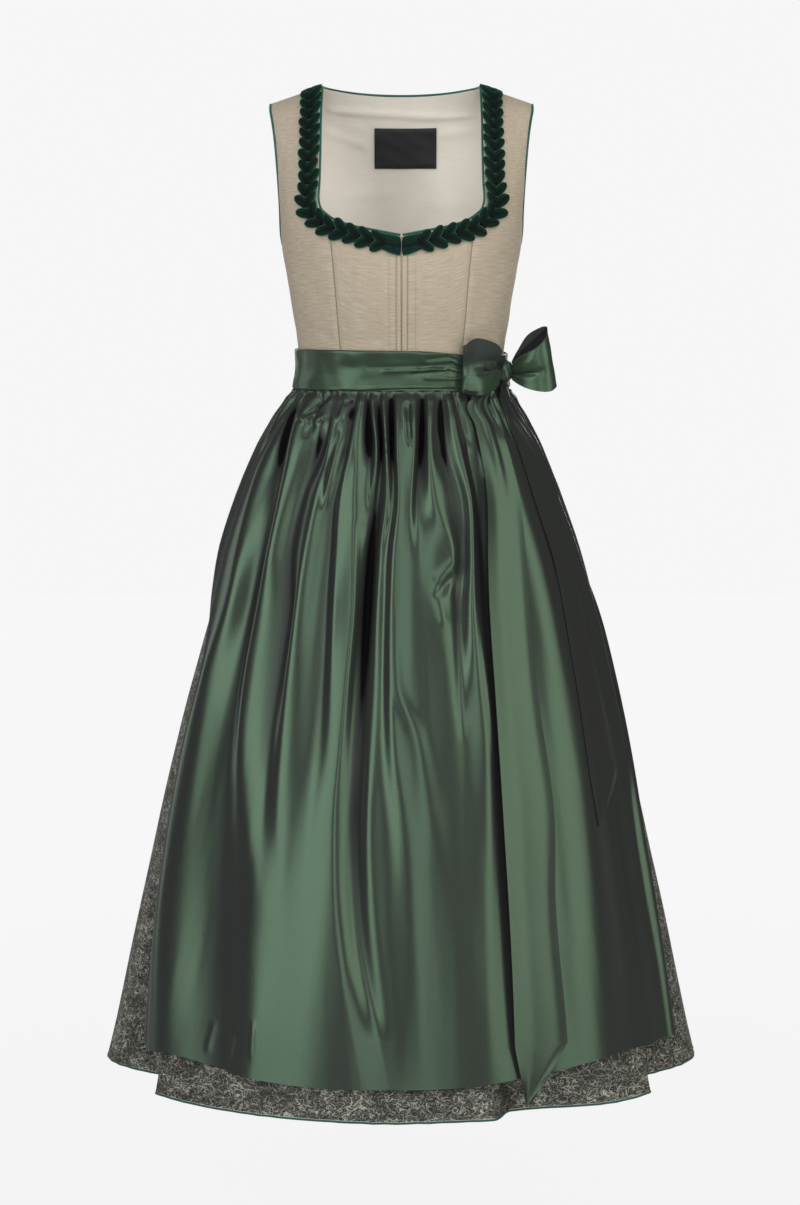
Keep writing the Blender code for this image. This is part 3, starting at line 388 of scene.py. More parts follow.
# Shorter creases: rows of (drop, degrees, half-width towards the wearer's right and towards the left,
# height in mm); the widths are in degrees and a trough has a negative height.
APRON_CREASES = (
    [(0.4, -23.5, 2.2, 2.4, 0), (0.425, -24, 2.4, 2.6, 5), (0.455, -25, 2.6, 2.6, 8),
     (0.475, -26, 2.2, 2.4, 5), (0.5, -27, 1.6, 2, 0)],
    [(0.6, -1.4, 1, 1, 0), (0.665, -1.4, 1.6, 1.6, 1), (0.702, -0.5, 1.8, 1.8, 1.5),
     (0.738, 2.8, 2.2, 2.2, 1.8), (0.823, 5.7, 3, 3, 1.2), (0.9, 7.8, 4, 4, 0)],
    [(0.368, 2.2, 1, 1, 0), (0.378, 2.2, 1.2, 1.2, -5), (0.4, 2.4, 1.2, 1.2, -5), (0.425, 2.8, 1, 1, 0)],
    [(0.43, -8.8, 1.6, 1.8, 0), (0.5, -9.2, 2, 2.2, -5), (0.6, -9.8, 2.2, 2.4, -8),
     (0.7, -9.6, 2.4, 2.6, -7), (0.78, -9.8, 2.2, 2.4, -6), (0.86, -10.4, 2.2, 2.4, -6),
     (0.94, -9.6, 2.2, 2.4, -6.5), (1, -8, 2.2, 2.4, -6), (1.05, -6, 2, 2.2, -3.5), (1.09, -4.2, 2, 2, 0)],
    [(0.57, 16.5, 1.4, 1.4, 0), (0.619, 16.5, 1.8, 1.8, -3), (0.709, 15.3, 1.6, 1.6, -2),
     (0.76, 15, 1, 1, 0)],
    [(0.6, 22.6, 1, 1, 0), (0.676, 22.8, 1.1, 1.1, 2), (0.731, 23, 1.1, 1.1, 2),
     (0.79, 22.6, 1.1, 1.1, 0)],
    [(0.7, 34, 3, 3, 0), (0.8, 33, 3.5, 3, 2), (0.95, 31, 3.5, 3, 2.5), (1.13, 29, 4, 3, 1.5)],
    [(0.9, 68.8, 1, 1, 0), (0.944, 68.4, 0.9, 0.9, 2), (1.014, 66.6, 0.9, 0.9, 2.5),
     (1.12, 64, 0.9, 0.9, 2)],
    [(0.38, 68, 5, 4, 1), (0.46, 71, 5, 3.5, 5), (0.56, 73, 5, 3.5, 6), (0.7, 73, 5, 3.5, 6),
     (0.86, 70, 4, 3, 5), (1, 66, 3, 2.5, 4), (1.12, 63, 3, 2, 3)],
    [(0.38, 84, 4, 4, 2), (0.48, 82, 5, 5, 4), (0.6, 80, 4, 4, 3), (0.7, 77, 4, 4, 0)],
    [(0.38, -80, 4, 4, 2), (0.48, -80, 5, 5, 5), (0.58, -78, 5, 5, 4), (0.66, -75, 4, 4, 0)],
)
# Short creases that run across the others: (drop, degrees) of both ends, half-width in metres and mm.
APRON_CROSS = table("drop_a deg_a drop_b deg_b half mm", [
    (0.362, -36, 0.388, -47.5, 0.0035, -5), (0.388, -50, 0.396, -42, 0.004, 3),
    (0.396, -42, 0.388, -35.5, 0.004, 3), (0.362, -29.6, 0.37, -28.5, 0.0022, -3),
    (0.37, -28.5, 0.3745, -25, 0.0022, -3), (0.3745, -25, 0.37, -21.8, 0.0022, -3),
    (0.548, 17, 0.577, 9.6, 0.0065, 2), (0.568, 16, 0.594, 9.6, 0.0055, -2.2),
    (0.577, 9.6, 0.625, 12, 0.006, 1.4), (1.082, -38.1, 1.118, -39, 0.004, 1.2),
    (1.089, -33, 1.122, -33.6, 0.004, 1.4), (1.075, -28.6, 1.118, -28.2, 0.0035, 1.2),
])
# Bright round bottoms under the band, where a gather ends: (drop, degrees, half-width in degrees, mm).
GATHER_ENDS = (
    (0.505, -13.2, 2.2, 1.5), (0.395, 3, 2.4, 3), (0.386, -25.8, 2, 3), (0.42, 14, 2.2, 2),
    (0.452, 33.5, 2.4, 2),
)
# Where a gather's groove leaves the band beside the front folds, in degrees.
GATHER_SPOTS = (-95, -89, -82, -76, -69, -58, -43, 25, 35, 41, 46, 51.5, 58, 64, 71, 77, 84, 90, 96)
GATHER_SEED = 11
# Creases of the tie, in degrees and drops of both ends, half-width in metres and height in mm.
TIE_CREASES = table("deg_a drop_a deg_b drop_b half mm", [
    (-14, 0.331, 8, 0.33, 0.004, -1.2), (8, 0.33, 24, 0.327, 0.0036, -2.2),
    (24, 0.327, 40, 0.338, 0.0028, -2.6), (-6, 0.335, 14, 0.332, 0.0028, 1.5),
    (14, 0.332, 40, 0.341, 0.0024, 1.8), (4, 0.339, 22, 0.335, 0.0024, -1.8),
    (22, 0.335, 40, 0.3425, 0.002, -2.2), (10, 0.3435, 40, 0.3455, 0.0024, 1.2),
    (12, 0.321, 22, 0.3185, 0.0034, -1.4), (22, 0.3185, 42, 0.333, 0.003, -1.6),
    (-84, 0.325, -50, 0.327, 0.006, -0.4), (-78, 0.34, -30, 0.341, 0.006, -0.4),
])


# ------------------------------------------------------------------ meshes
def piece(name, slot, nodes, points, faces, uv, sharp=50, painted_shading=None):
    """A smooth mesh that rides on the frame and stands for its nodes. Its cloth coordinates are in metres,
    and it may carry painted shade for its folds and seams and painted sheen for velvet edges."""
    mesh = bpy.data.meshes.new(name)
    loops = np.concatenate([np.asarray(block).ravel() for block in faces]).astype(np.int32)
    sizes = np.concatenate([np.full(len(block), np.shape(block)[1]) for block in faces])
    starts = np.concatenate([[0], np.cumsum(sizes)[:-1]]).astype(np.int32)
    mesh.vertices.add(len(points))
    mesh.vertices.foreach_set("co", np.asarray(points, np.float32).ravel())
    mesh.loops.add(len(loops))
    mesh.loops.foreach_set("vertex_index", loops)
    mesh.polygons.add(len(sizes))
    mesh.polygons.foreach_set("loop_start", starts)
    mesh.update(calc_edges=True)
    layer = mesh.uv_layers.new(name="cloth")
    layer.data.foreach_set("uv", np.asarray(uv, np.float32)[loops].ravel())
    if painted_shading is not None:
        shade = mesh.attributes.new("painted_shading", "FLOAT", "POINT")
        shade.data.foreach_set("value", np.asarray(painted_shading, np.float32).ravel())
    mesh.validate()
    mesh.shade_smooth()
    mesh.set_sharp_from_angle(angle=math.radians(sharp))
    mesh.materials.append(FINISH.get(name) or FINISH[slot])
    made = bpy.data.objects.new(name, mesh)
    bpy.context.scene.collection.objects.link(made)
    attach(made, "root")
    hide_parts(*nodes)
    return made


def grid_out(points):
    """Outward directions of a grid whose rows go down and whose columns go towards the wearer's left."""
    return unit(np.cross(np.gradient(points, axis=0), np.gradient(points, axis=1)))


def grid_faces(rows, columns, wrap=False):
    r, c = np.arange(rows - 1)[:, None], np.arange(columns if wrap else columns - 1)[None]
    a, b = r * columns + c, r * columns + (c + 1) % columns
    return np.stack([a, a + columns, b + columns, b], -1).reshape(-1, 4)


def rim_of(rows, columns):
    inside = np.arange(rows * columns).reshape(rows, columns)
    return np.concatenate([inside[0], inside[1:, -1], inside[-1, -2::-1], inside[-2:0:-1, 0]])


def uv_grid(across, down):
    """Cloth coordinates of a grid's points, row by row."""
    return np.stack(np.meshgrid(across, down), -1).reshape(-1, 2)


def cloth_uv(points):
    """Cloth coordinates from the lengths along a grid's middle row and middle column."""
    across, down = walked(points[len(points) // 2]), walked(points[:, points.shape[1] // 2])
    return uv_grid(across - across[-1] / 2, -down)


def shell_faces(rows, columns):
    """Faces of a closed sheet: its outer grid, its inner one and the rim between them."""
    face, rim = grid_faces(rows, columns), rim_of(rows, columns)
    after, count = np.roll(rim, -1), rows * columns
    return [face, face[:, ::-1] + count, np.stack([rim, after, after + count, rim + count], -1)]


def shell(name, slot, nodes, outer, inner, uv=None, sharp=50, painted_shading=None):
    """A closed sheet of cloth between two grids of points."""
    uv = cloth_uv(outer) if uv is None else uv
    points = np.concatenate([outer.reshape(-1, 3), inner.reshape(-1, 3)])
    painted_shading = None if painted_shading is None else np.concatenate([painted_shading.ravel(), painted_shading.ravel()])
    faces = shell_faces(*outer.shape[:2])
    return piece(name, slot, nodes, points, faces, np.concatenate([uv, uv]), sharp, painted_shading)


def tube(name, slot, nodes, path, out, radius, sides=10, closed=False):
    """A round cord along a path; out is a direction away from the cloth at each point."""
    if closed:
        along = unit(np.roll(path, -1, axis=0) - np.roll(path, 1, axis=0))
    else:
        along = unit(np.gradient(path, axis=0))
    across = unit(np.cross(along, out))
    up = np.cross(across, along)
    turn = (2 * math.pi * np.arange(sides) / sides)[None, :, None]
    reach = np.broadcast_to(np.asarray(radius, float), (len(path),))[:, None, None]
    ring = path[:, None] + reach * (np.cos(turn) * up[:, None] + np.sin(turn) * across[:, None])
    uv = uv_grid(np.arange(sides) / sides * 2 * math.pi * PIPING_RADIUS, walked(path))
    faces = [grid_faces(len(path), sides, True)[:, ::-1]]
    first, last = np.arange(sides), np.arange(sides) + (len(path) - 1) * sides
    if closed:
        after = np.roll(first, -1)
        faces.append(np.stack([last, last[np.roll(np.arange(sides), -1)], after, first], -1)[:, ::-1])
    else:
        faces += [first[None], last[None, ::-1]]
    return piece(name, slot, nodes, ring.reshape(-1, 3), faces, uv, 75)


def noise(u, v, seed, count=10, low=1.0, high=4.0):
    """Soft uneven swells of two coordinates, about -1 to 1."""
    picked = np.random.default_rng(seed)
    total = 0
    for _ in range(count):
        a, b = picked.uniform(low, high, 2) * picked.choice([-1, 1], 2)
        total = total + np.sin(a * u + b * v + picked.uniform(0, 2 * math.pi))
    return total / math.sqrt(count) * 0.7


def line_share(u, v, ends):
    """Distance from a straight crease and how far along it, 0 to 1, by its ends (ua, va, ub, vb)."""
    ua, va, ub, vb = ends
    du, dv = ub - ua, vb - va
    along = ((u - ua) * du + (v - va) * dv) / (du * du + dv * dv)
    near = np.clip(along, 0, 1)
    return np.hypot(u - ua - near * du, v - va - near * dv), along


def pulled(u, v, rows, sharp=1.0):
    """Height of straight creases, each a row of its ends, its half-width and its height in mm."""
    return sum(mm / 1000 * bell(line_share(u, v, ends)[0], half, sharp) for *ends, half, mm in rows)


def normals(surface, angle, drop):
    """Outward normals of a surface given by angle and drop, where drop 0 may be a rounded ridge."""
    turn, rise = 1e-3, 1e-4
    down = np.sqrt(np.maximum(drop, 0.0))
    upper = np.maximum(down - rise, 0.0) ** 2
    across = surface(angle + turn, drop) - surface(angle - turn, drop)
    along = surface(angle, (down + rise) ** 2) - surface(angle, upper)
    return unit(np.cross(along, across))


# ------------------------------------------------------------------ materials
def feed(tree, socket, value):
    """Sets a socket, or links it where the value is another node's output."""
    if isinstance(value, bpy.types.NodeSocket):
        tree.links.new(value, socket)
    else:
        socket.default_value = value


def node(tree, kind, inputs=None, **settings):
    made = tree.nodes.new("ShaderNode" + kind)
    for key, value in settings.items():
        setattr(made, key, value)
    for key, value in (inputs or {}).items():
        feed(tree, made.inputs[key], value)
    return made


def start(name, **sockets):
    """A material with its Principled shader, whose even values are set on its own sockets."""
    made = bpy.data.materials.new(name)
    made.use_nodes = True
    tree = made.node_tree
    shader = tree.nodes["Principled BSDF"]
    for key, value in sockets.items():
        shader.inputs[key.replace("_", " ")].default_value = value
    return made, tree, shader


def rgb(r, g, b):
    """A colour from its display values, 0 to 255."""
    share = [v / 255 for v in (r, g, b)]
    return (*[v / 12.92 if v <= 0.04045 else ((v + 0.055) / 1.055) ** 2.4 for v in share], 1.0)


def cloth_at(tree, across, down):
    """Cloth coordinates scaled by so many steps a metre across and down."""
    uv = node(tree, "UVMap", uv_map="cloth").outputs[0]
    return node(tree, "Mapping", {"Vector": uv, "Scale": (across, down, 1.0)}).outputs[0]


# The painted light and shade that a piece carries, as its material reads it.
def deep_of(tree):
    return node(tree, "Attribute", attribute_name="painted_shading").outputs["Fac"]


def cloud(tree, vector, scale=1.0, detail=2.0, rough=0.5, distort=0.0):
    inputs = {"Vector": vector, "Scale": scale, "Detail": detail, "Roughness": rough, "Distortion": distort}
    return node(tree, "TexNoise", inputs).outputs["Fac"]


def maths(tree, operation, a, b=0.0, clamp=False):
    return node(tree, "Math", {0: a, 1: b}, operation=operation, use_clamp=clamp).outputs[0]


def times(tree, a, b, clamp=False):
    return maths(tree, "MULTIPLY", a, b, clamp)


def ranged(tree, value, low, high, to_low=0.0, to_high=1.0):
    inputs = {"Value": value, "From Min": low, "From Max": high, "To Min": to_low, "To Max": to_high}
    return node(tree, "MapRange", inputs, clamp=True).outputs[0]


def mixed(tree, share, a, b):
    made = node(tree, "Mix", data_type="RGBA")
    for key, value in ((0, share), (6, a), (7, b)):
        feed(tree, made.inputs[key], value)
    return made.outputs[2]


def toned(tree, base, by, low, high, amount, colour):
    """The base with up to this amount of a colour in it, as another value goes from low to high."""
    return mixed(tree, ranged(tree, by, low, high, 0.0, amount), base, rgb(*colour))


def along_cloth(tree, shader):
    """The shader's shine follows the cloth coordinates."""
    tangent = node(tree, "Tangent", direction_type="UV_MAP", uv_map="cloth")
    tree.links.new(tangent.outputs[0], shader.inputs["Tangent"])


def bumped(tree, shader, height, strength, distance):
    inputs = {"Height": height, "Strength": strength, "Distance": distance}
    tree.links.new(node(tree, "Bump", inputs).outputs[0], shader.inputs["Normal"])


def threads(tree, coordinates, axis):
    """One thread a unit along an axis of the cloth, 0 in the gaps and 1 on top."""
    split = node(tree, "SeparateXYZ", {"Vector": coordinates})
    wave = maths(tree, "SINE", times(tree, split.outputs[axis], 2 * math.pi))
    return ranged(tree, wave, -1, 1)


def satin(name, turned):
    """Shot satin: near-black one way and green where it shines. Its shine spreads down the cloth, or across
    it where turned, and turned it has a greener base, as painted sheen."""
    turn = 0.0 if turned else SATIN_TURN
    made, tree, shader = start(name, IOR=1.85, Anisotropic=0.6, Anisotropic_Rotation=turn)
    tone = cloud(tree, cloth_at(tree, 9, 3), 1.0, 3.0, 0.55)
    grain = cloud(tree, cloth_at(tree, 1500, 620), 1.0, 2.0, 0.6)
    base = mixed(tree, ranged(tree, tone, 0.35, 0.65), rgb(48, 43, 48), rgb(46, 44, 46))
    # Painted sheen: the turned cloth gets a greener base than the other.
    base = toned(tree, rgb(50, 66, 52) if turned else base, grain, 0.3, 0.75, 1.0, (54, 54, 54))
    # Painted shade where the piece carries it, in folds, at its sides and on the loops: the base goes
    # near-black, the shine turns grey and rougher, and weaker where darkest.
    painted_shading = deep_of(tree)
    tree.links.new(mixed(tree, painted_shading, base, rgb(13, 12, 14)), shader.inputs["Base Color"])
    tint = mixed(tree, painted_shading, (0.51, 0.90, 0.56, 1.0), (0.78, 0.81, 0.83, 1.0))
    tree.links.new(tint, shader.inputs["Specular Tint"])
    tree.links.new(ranged(tree, painted_shading, 0.82, 1.0, 0.5, 0.04), shader.inputs["Specular IOR Level"])
    rough = ranged(tree, grain, 0.3, 0.7, 0.26, 0.35)
    rough = maths(tree, "ADD", rough, times(tree, painted_shading, 0.6), True)
    tree.links.new(rough, shader.inputs["Roughness"])
    along_cloth(tree, shader)
    slub = cloud(tree, cloth_at(tree, 60, 1400), 1.0, 2.0, 0.5)
    height = maths(tree, "ADD", times(tree, grain, 0.6), slub)
    bumped(tree, shader, height, 0.30, 0.0003)
    return made


def linen():
    """Fine linen: warp and weft of uneven threads, with slubs along the weft."""
    made, tree, shader = start("linen", Roughness=0.72, Sheen_Weight=0.35, Sheen_Roughness=0.45, IOR=1.4)
    shader.inputs["Sheen Tint"].default_value = rgb(235, 225, 205)
    weave = cloth_at(tree, 1500, 1300)
    wobble = cloud(tree, cloth_at(tree, 700, 260), 1.0, 2.0)
    bent = node(tree, "VectorMath", {0: weave, 1: wobble}, operation="ADD").outputs[0]
    warp, weft = threads(tree, bent, 0), threads(tree, bent, 1)
    slub = cloud(tree, cloth_at(tree, 55, 900), 1.0, 4.0, 0.62)
    down = cloud(tree, cloth_at(tree, 800, 40), 1.0, 3.0, 0.6)
    patch = cloud(tree, cloth_at(tree, 22, 30), 1.0, 3.0, 0.6)
    base = mixed(tree, ranged(tree, slub, 0.34, 0.66), rgb(186, 170, 146), rgb(218, 207, 190))
    base = toned(tree, base, down, 0.52, 0.8, 0.35, (170, 152, 124))
    base = toned(tree, base, patch, 0.3, 0.7, 0.25, (196, 180, 152))
    gaps = times(tree, warp, weft)
    base = mixed(tree, ranged(tree, gaps, 0.0, 0.35, 0.14, 0.0), base, rgb(120, 104, 82))
    # Painted shade along the placket's edge, the centre line and the seam, where the piece carries it.
    base = toned(tree, base, deep_of(tree), 0.0, 1.0, 0.85, (92, 76, 56))
    tree.links.new(base, shader.inputs["Base Color"])
    height = maths(tree, "ADD", times(tree, gaps, 0.5), slub)
    bumped(tree, shader, height, 0.35, 0.00025)
    return made


def winding(tree, at, scale, width):
    """Thin winding lines: 1 along the level curves of a cloud, 0 away from them."""
    bend = cloud(tree, at, scale, 1.5, 0.5, 0.9)
    off = maths(tree, "ABSOLUTE", maths(tree, "SUBTRACT", bend, 0.5))
    return ranged(tree, off, 0.0, width, 1.0, 0.0)


def jacquard():
    """Dark jacquard: small broken lines in champagne thread with larger curls among them."""
    made, tree, shader = start("jacquard", Roughness=0.5, Sheen_Weight=0.1, Sheen_Roughness=0.5)
    at = cloth_at(tree, 1, 1)
    small = winding(tree, at, 420.0, 0.08)
    curls = winding(tree, at, 165.0, 0.046)
    flower = cloud(tree, at, 42.0, 2.0, 0.5, 0.6)
    dots = cloud(tree, at, 1100.0, 1.0, 0.5)
    small = times(tree, small, ranged(tree, flower, 0.36, 0.62, 0.16, 0.42))
    curls = times(tree, curls, ranged(tree, flower, 0.40, 0.60, 0.60, 1.2))
    spark = maths(tree, "MAXIMUM", small, curls)
    spark = times(tree, spark, ranged(tree, dots, 0.40, 0.56, 0.5, 1.0), True)
    ground = mixed(tree, ranged(tree, flower, 0.35, 0.65), rgb(18, 18, 15), rgb(25, 25, 21))
    base = mixed(tree, spark, ground, rgb(206, 206, 190))
    tree.links.new(base, shader.inputs["Base Color"])
    tree.links.new(ranged(tree, spark, 0, 1, 0.62, 0.36), shader.inputs["Roughness"])
    bumped(tree, shader, spark, 0.3, 0.0003)
    return made


def velvet():
    """Deep green velvet with painted shade, nearly black in its folds, and painted sheen, lighter along its
    edges where the pile turns.
    """
    made, tree, shader = start("velvet", Roughness=0.85, Sheen_Weight=0.55, Sheen_Roughness=0.32, IOR=1.3)
    shader.inputs["Sheen Tint"].default_value = rgb(60, 150, 115)
    pile = cloud(tree, cloth_at(tree, 1, 1), 900.0, 3.0, 0.6)
    nap = cloud(tree, cloth_at(tree, 1, 1), 160.0, 2.0, 0.5)
    edge = deep_of(tree)
    base = mixed(tree, ranged(tree, nap, 0.35, 0.65), rgb(8, 34, 26), rgb(16, 54, 42))
    base = toned(tree, base, pile, 0.5, 0.8, 0.5, (24, 72, 55))
    # Painted shade, nearly black, where the piece's values are low, and painted sheen, lighter, where they
    # are high.
    base = mixed(tree, ranged(tree, edge, 0.0, 0.42, 1.0, 0.0), base, rgb(3, 14, 10))
    base = toned(tree, base, edge, 0.45, 1.0, 0.9, (66, 128, 104))
    tree.links.new(base, shader.inputs["Base Color"])
    bumped(tree, shader, pile, 0.5, 0.0004)
    return made


def lining():
    """Cream lining satin."""
    made, tree, shader = start("lining", Roughness=0.5, Anisotropic=0.5, Sheen_Weight=0.5, IOR=1.5)
    slub = cloud(tree, cloth_at(tree, 50, 1100), 1.0, 3.0, 0.55)
    patch = cloud(tree, cloth_at(tree, 14, 20), 1.0, 3.0, 0.55)
    base = mixed(tree, ranged(tree, slub, 0.35, 0.65), rgb(246, 239, 228), rgb(252, 248, 240))
    base = toned(tree, base, patch, 0.35, 0.7, 0.4, (240, 230, 216))
    tree.links.new(base, shader.inputs["Base Color"])
    along_cloth(tree, shader)
    bumped(tree, shader, slub, 0.12, 0.0002)
    return made


def label_cloth():
    """A bare woven label."""
    made, tree, shader = start("label", Roughness=0.55, Sheen_Weight=0.1)
    fine = cloth_at(tree, 2200, 2200)
    rows = times(tree, threads(tree, fine, 0), threads(tree, fine, 1))
    base = mixed(tree, rows, rgb(24, 23, 26), rgb(48, 46, 50))
    patch = cloud(tree, cloth_at(tree, 60, 60), 1.0, 2.0)
    base = toned(tree, base, patch, 0.3, 0.7, 0.3, (40, 38, 42))
    tree.links.new(base, shader.inputs["Base Color"])
    bumped(tree, shader, rows, 0.3, 0.0001)
    return made


def piping(name, dark, light):
    """Twisted silky cord: slanting ribs round it."""
    made, tree, shader = start(name, Roughness=0.42, Sheen_Weight=0.3, Sheen_Roughness=0.4, IOR=1.5)
    at = cloth_at(tree, 300, 330)
    split = node(tree, "SeparateXYZ", {"Vector": at})
    slant = maths(tree, "ADD", split.outputs[0], split.outputs[1])
    rib = ranged(tree, maths(tree, "SINE", times(tree, slant, 2 * math.pi)), -0.8, 1)
    # Painted shade in the grooves between the ribs and lighter rib tops, following the bump.
    base = mixed(tree, rib, dark, light)
    patch = cloud(tree, cloth_at(tree, 90, 90), 1.0, 2.0)
    base = mixed(tree, ranged(tree, patch, 0.35, 0.7, 0, 0.5), base, dark)
    tree.links.new(base, shader.inputs["Base Color"])
    bumped(tree, shader, rib, 0.6, 0.0004)
    return made


def thread():
    made, tree, shader = start("thread", Roughness=0.6, Sheen_Weight=0.2)
    patch = cloud(tree, cloth_at(tree, 700, 700), 1.0, 2.0)
    tree.links.new(mixed(tree, patch, rgb(120, 104, 80), rgb(158, 140, 112)), shader.inputs["Base Color"])
    return made


SATIN_ACROSS = satin("satin_across", True)
# Each slot's material, then those of the pieces that have their own.
FINISH = {
    "satin": satin("satin_down", False),
    "linen": linen(),
    "jacquard": jacquard(),
    "velvet": velvet(),
    "lining": lining(),
    "label": label_cloth(),
    "piping": piping("piping", rgb(12, 70, 58), rgb(52, 132, 112)),
    "placket_stitches": thread(),
}
for name in "waistband tie_front tie_back bow_loop_left bow_loop_right bow_knot_wrap".split():
    FINISH[name] = SATIN_ACROSS


# ------------------------------------------------------------------ bodice
def strap_x(drop):
    return smooth(NECK_STRAP["drop"], NECK_STRAP["x"], drop)


def neck_bottom_drop(x):
    return smooth(NECK_BOTTOM["x"], NECK_BOTTOM["drop"], x)


def princess_x(drop):
    return np.interp(drop, PRINCESS["drop"], PRINCESS["x"])


def armhole_angle(drop, front, piping=False):
    """The panel's armhole edge beside the piping, or its side seam below. With piping, the cord's middle."""
    side, step = (1 if front else -1), 1e-3
    edge = np.radians(torso_row(drop)["edge_front" if front else "edge_back"])
    edge = edge if front else math.pi - edge
    speed = np.linalg.norm(torso(edge, drop) - torso(edge - side * step, drop), axis=-1) / step
    inset = PIPING_GAP - UNDERARM_LESS * ease((drop - UNDERARM_START) / (ARMHOLE_DROP - UNDERARM_START))
    under = np.clip((drop - ARMHOLE_DROP) / UNDERARM_GAP, 0, 1)
    inset = inset * np.sqrt(1 - under**2) + SEAM_GAP / 2 * (under >= 1)
    return edge - side * inset * (not piping) / speed


# Creases of the bodice fronts, its back and the lining: x and drop of both ends, half-width and mm.
BODICE_PULLS = (
    (0.118, 0.205, 0.09, 0.26, 0.01, -0.9), (0.128, 0.225, 0.098, 0.285, 0.009, 0.7),
    (-0.12, 0.2, -0.092, 0.262, 0.011, -0.8), (-0.126, 0.232, -0.096, 0.3, 0.009, 0.7),
    (0.02, 0.302, 0.062, 0.296, 0.007, 0.5), (-0.024, 0.298, -0.064, 0.303, 0.006, -0.5),
    (0.112, 0.285, 0.082, 0.303, 0.007, -0.6), (-0.111, 0.282, -0.08, 0.299, 0.006, -0.6),
    (0.136, 0.11, 0.128, 0.17, 0.009, 0.7), (-0.137, 0.105, -0.129, 0.172, 0.009, 0.6),
    (0.134, 0.04, 0.131, 0.09, 0.008, -0.5), (-0.133, 0.046, -0.131, 0.094, 0.008, -0.4),
)
BACK_PULLS = (
    (-0.1, 0.285, 0.1, 0.292, 0.007, -0.8), (-0.1, 0.3, 0.1, 0.296, 0.006, 0.6),
    (-0.1, 0.262, 0.1, 0.258, 0.009, -0.5),
)
LINING_FOLDS = (
    (-0.085, 0.022, 0.085, 0.03, 0.0045, 2), (-0.08, 0.03, -0.01, 0.038, 0.004, -1.6),
    (0.01, 0.037, 0.085, 0.034, 0.004, -1.4), (-0.09, 0.05, -0.045, 0.064, 0.006, 1.2),
    (0.046, 0.052, 0.09, 0.046, 0.0055, 1.1), (-0.086, 0.088, -0.04, 0.082, 0.0075, -1),
    (0.048, 0.094, 0.09, 0.104, 0.008, -1), (-0.07, 0.128, -0.01, 0.12, 0.009, 0.9),
    (0.02, 0.14, 0.08, 0.132, 0.009, 0.8),
)


def seam_dip(distance, depth=0.0010, width=0.0024):
    """The hollow along a seam, with a faint roll on each side of it."""
    near = np.abs(distance) / width
    return -depth * bell(near, 1) + 0.25 * depth * bell(near - 2.6, 1)


def bodice_relief(x, drop):
    """Slight pulls in the linen: long slanting ones from the bust and level ones above the waist."""
    return 0.0005 * noise(x * 34, drop * 26, 3, 8) + pulled(x, drop, BODICE_PULLS)


# The placket from the centre front: its edge on each side, and the rows of stitches with their sides.
PLACKET_EDGE = {1: 0.0071, -1: 0.0061}
STITCH_ROWS = ((0.0147, -1), (0.0069, 1), (0.0165, 1))


def centre_relief(x, drop, side):
    """The placket's upper half lies on the lower one, with a pressed edge and rows of stitches."""
    total = bodice_relief(side * x, drop) + seam_dip(x - princess_x(drop))
    if side > 0:
        total = total + 0.0007 * ease((PLACKET_EDGE[1] - x) / 0.0008) - 0.0005 * bell(x - 0.0165, 0.0011)
    else:
        total = total - 0.0006 * bell(x - PLACKET_EDGE[-1], 0.0009) - 0.0004 * bell(x - 0.0147, 0.0011)
    return total - 0.0006 * bell(x, 0.0009)


def make_centre_front(side):
    columns = 64
    share = np.linspace(0, 1, columns) ** 1.15
    first_x, last_x = SEAM_GAP / 2, PRINCESS["x"][0] - SEAM_GAP / 2
    top_x = first_x + (last_x - first_x) * share
    slope = np.gradient(neck_bottom_drop(top_x), top_x)
    top = neck_bottom_drop(top_x) + (PIPING_GAP + OVER_FACETS) * np.sqrt(1 + slope**2)
    top = np.minimum(top, np.where(top_x > 0.09, PRINCESS["drop"][0], 1))
    top[-1] = PRINCESS["drop"][0]
    down = np.linspace(0, 1, 74)[:, None]
    drop = top + (WAIST_DROP - SEAM_GAP - top) * down
    edge = princess_x(drop[:, -1:]) - SEAM_GAP / 2
    x = first_x + (edge - first_x) * share
    angle = side * torso_angle(x, drop)
    out = normals(torso, angle, drop)
    points = torso(angle, drop) + out * centre_relief(x, drop, side)[..., None]
    # Painted shade along the placket's edge, the centre line and the last column at the seam.
    painted_shading = 0.7 * bell(x - PLACKET_EDGE[side], 0.0007) + 0.8 * bell(x, 0.0008)
    painted_shading[:, -1] = 0.8
    if side < 0:
        points, out, painted_shading = points[:, ::-1], out[:, ::-1], painted_shading[:, ::-1]
    name, nodes = "bodice_centre_" + WORD[side], ["bodice_centre_front_" + WORD[side]]
    return shell(name, "linen", nodes, points, points - out * BODICE_WALL, painted_shading=np.clip(painted_shading, 0, 1))


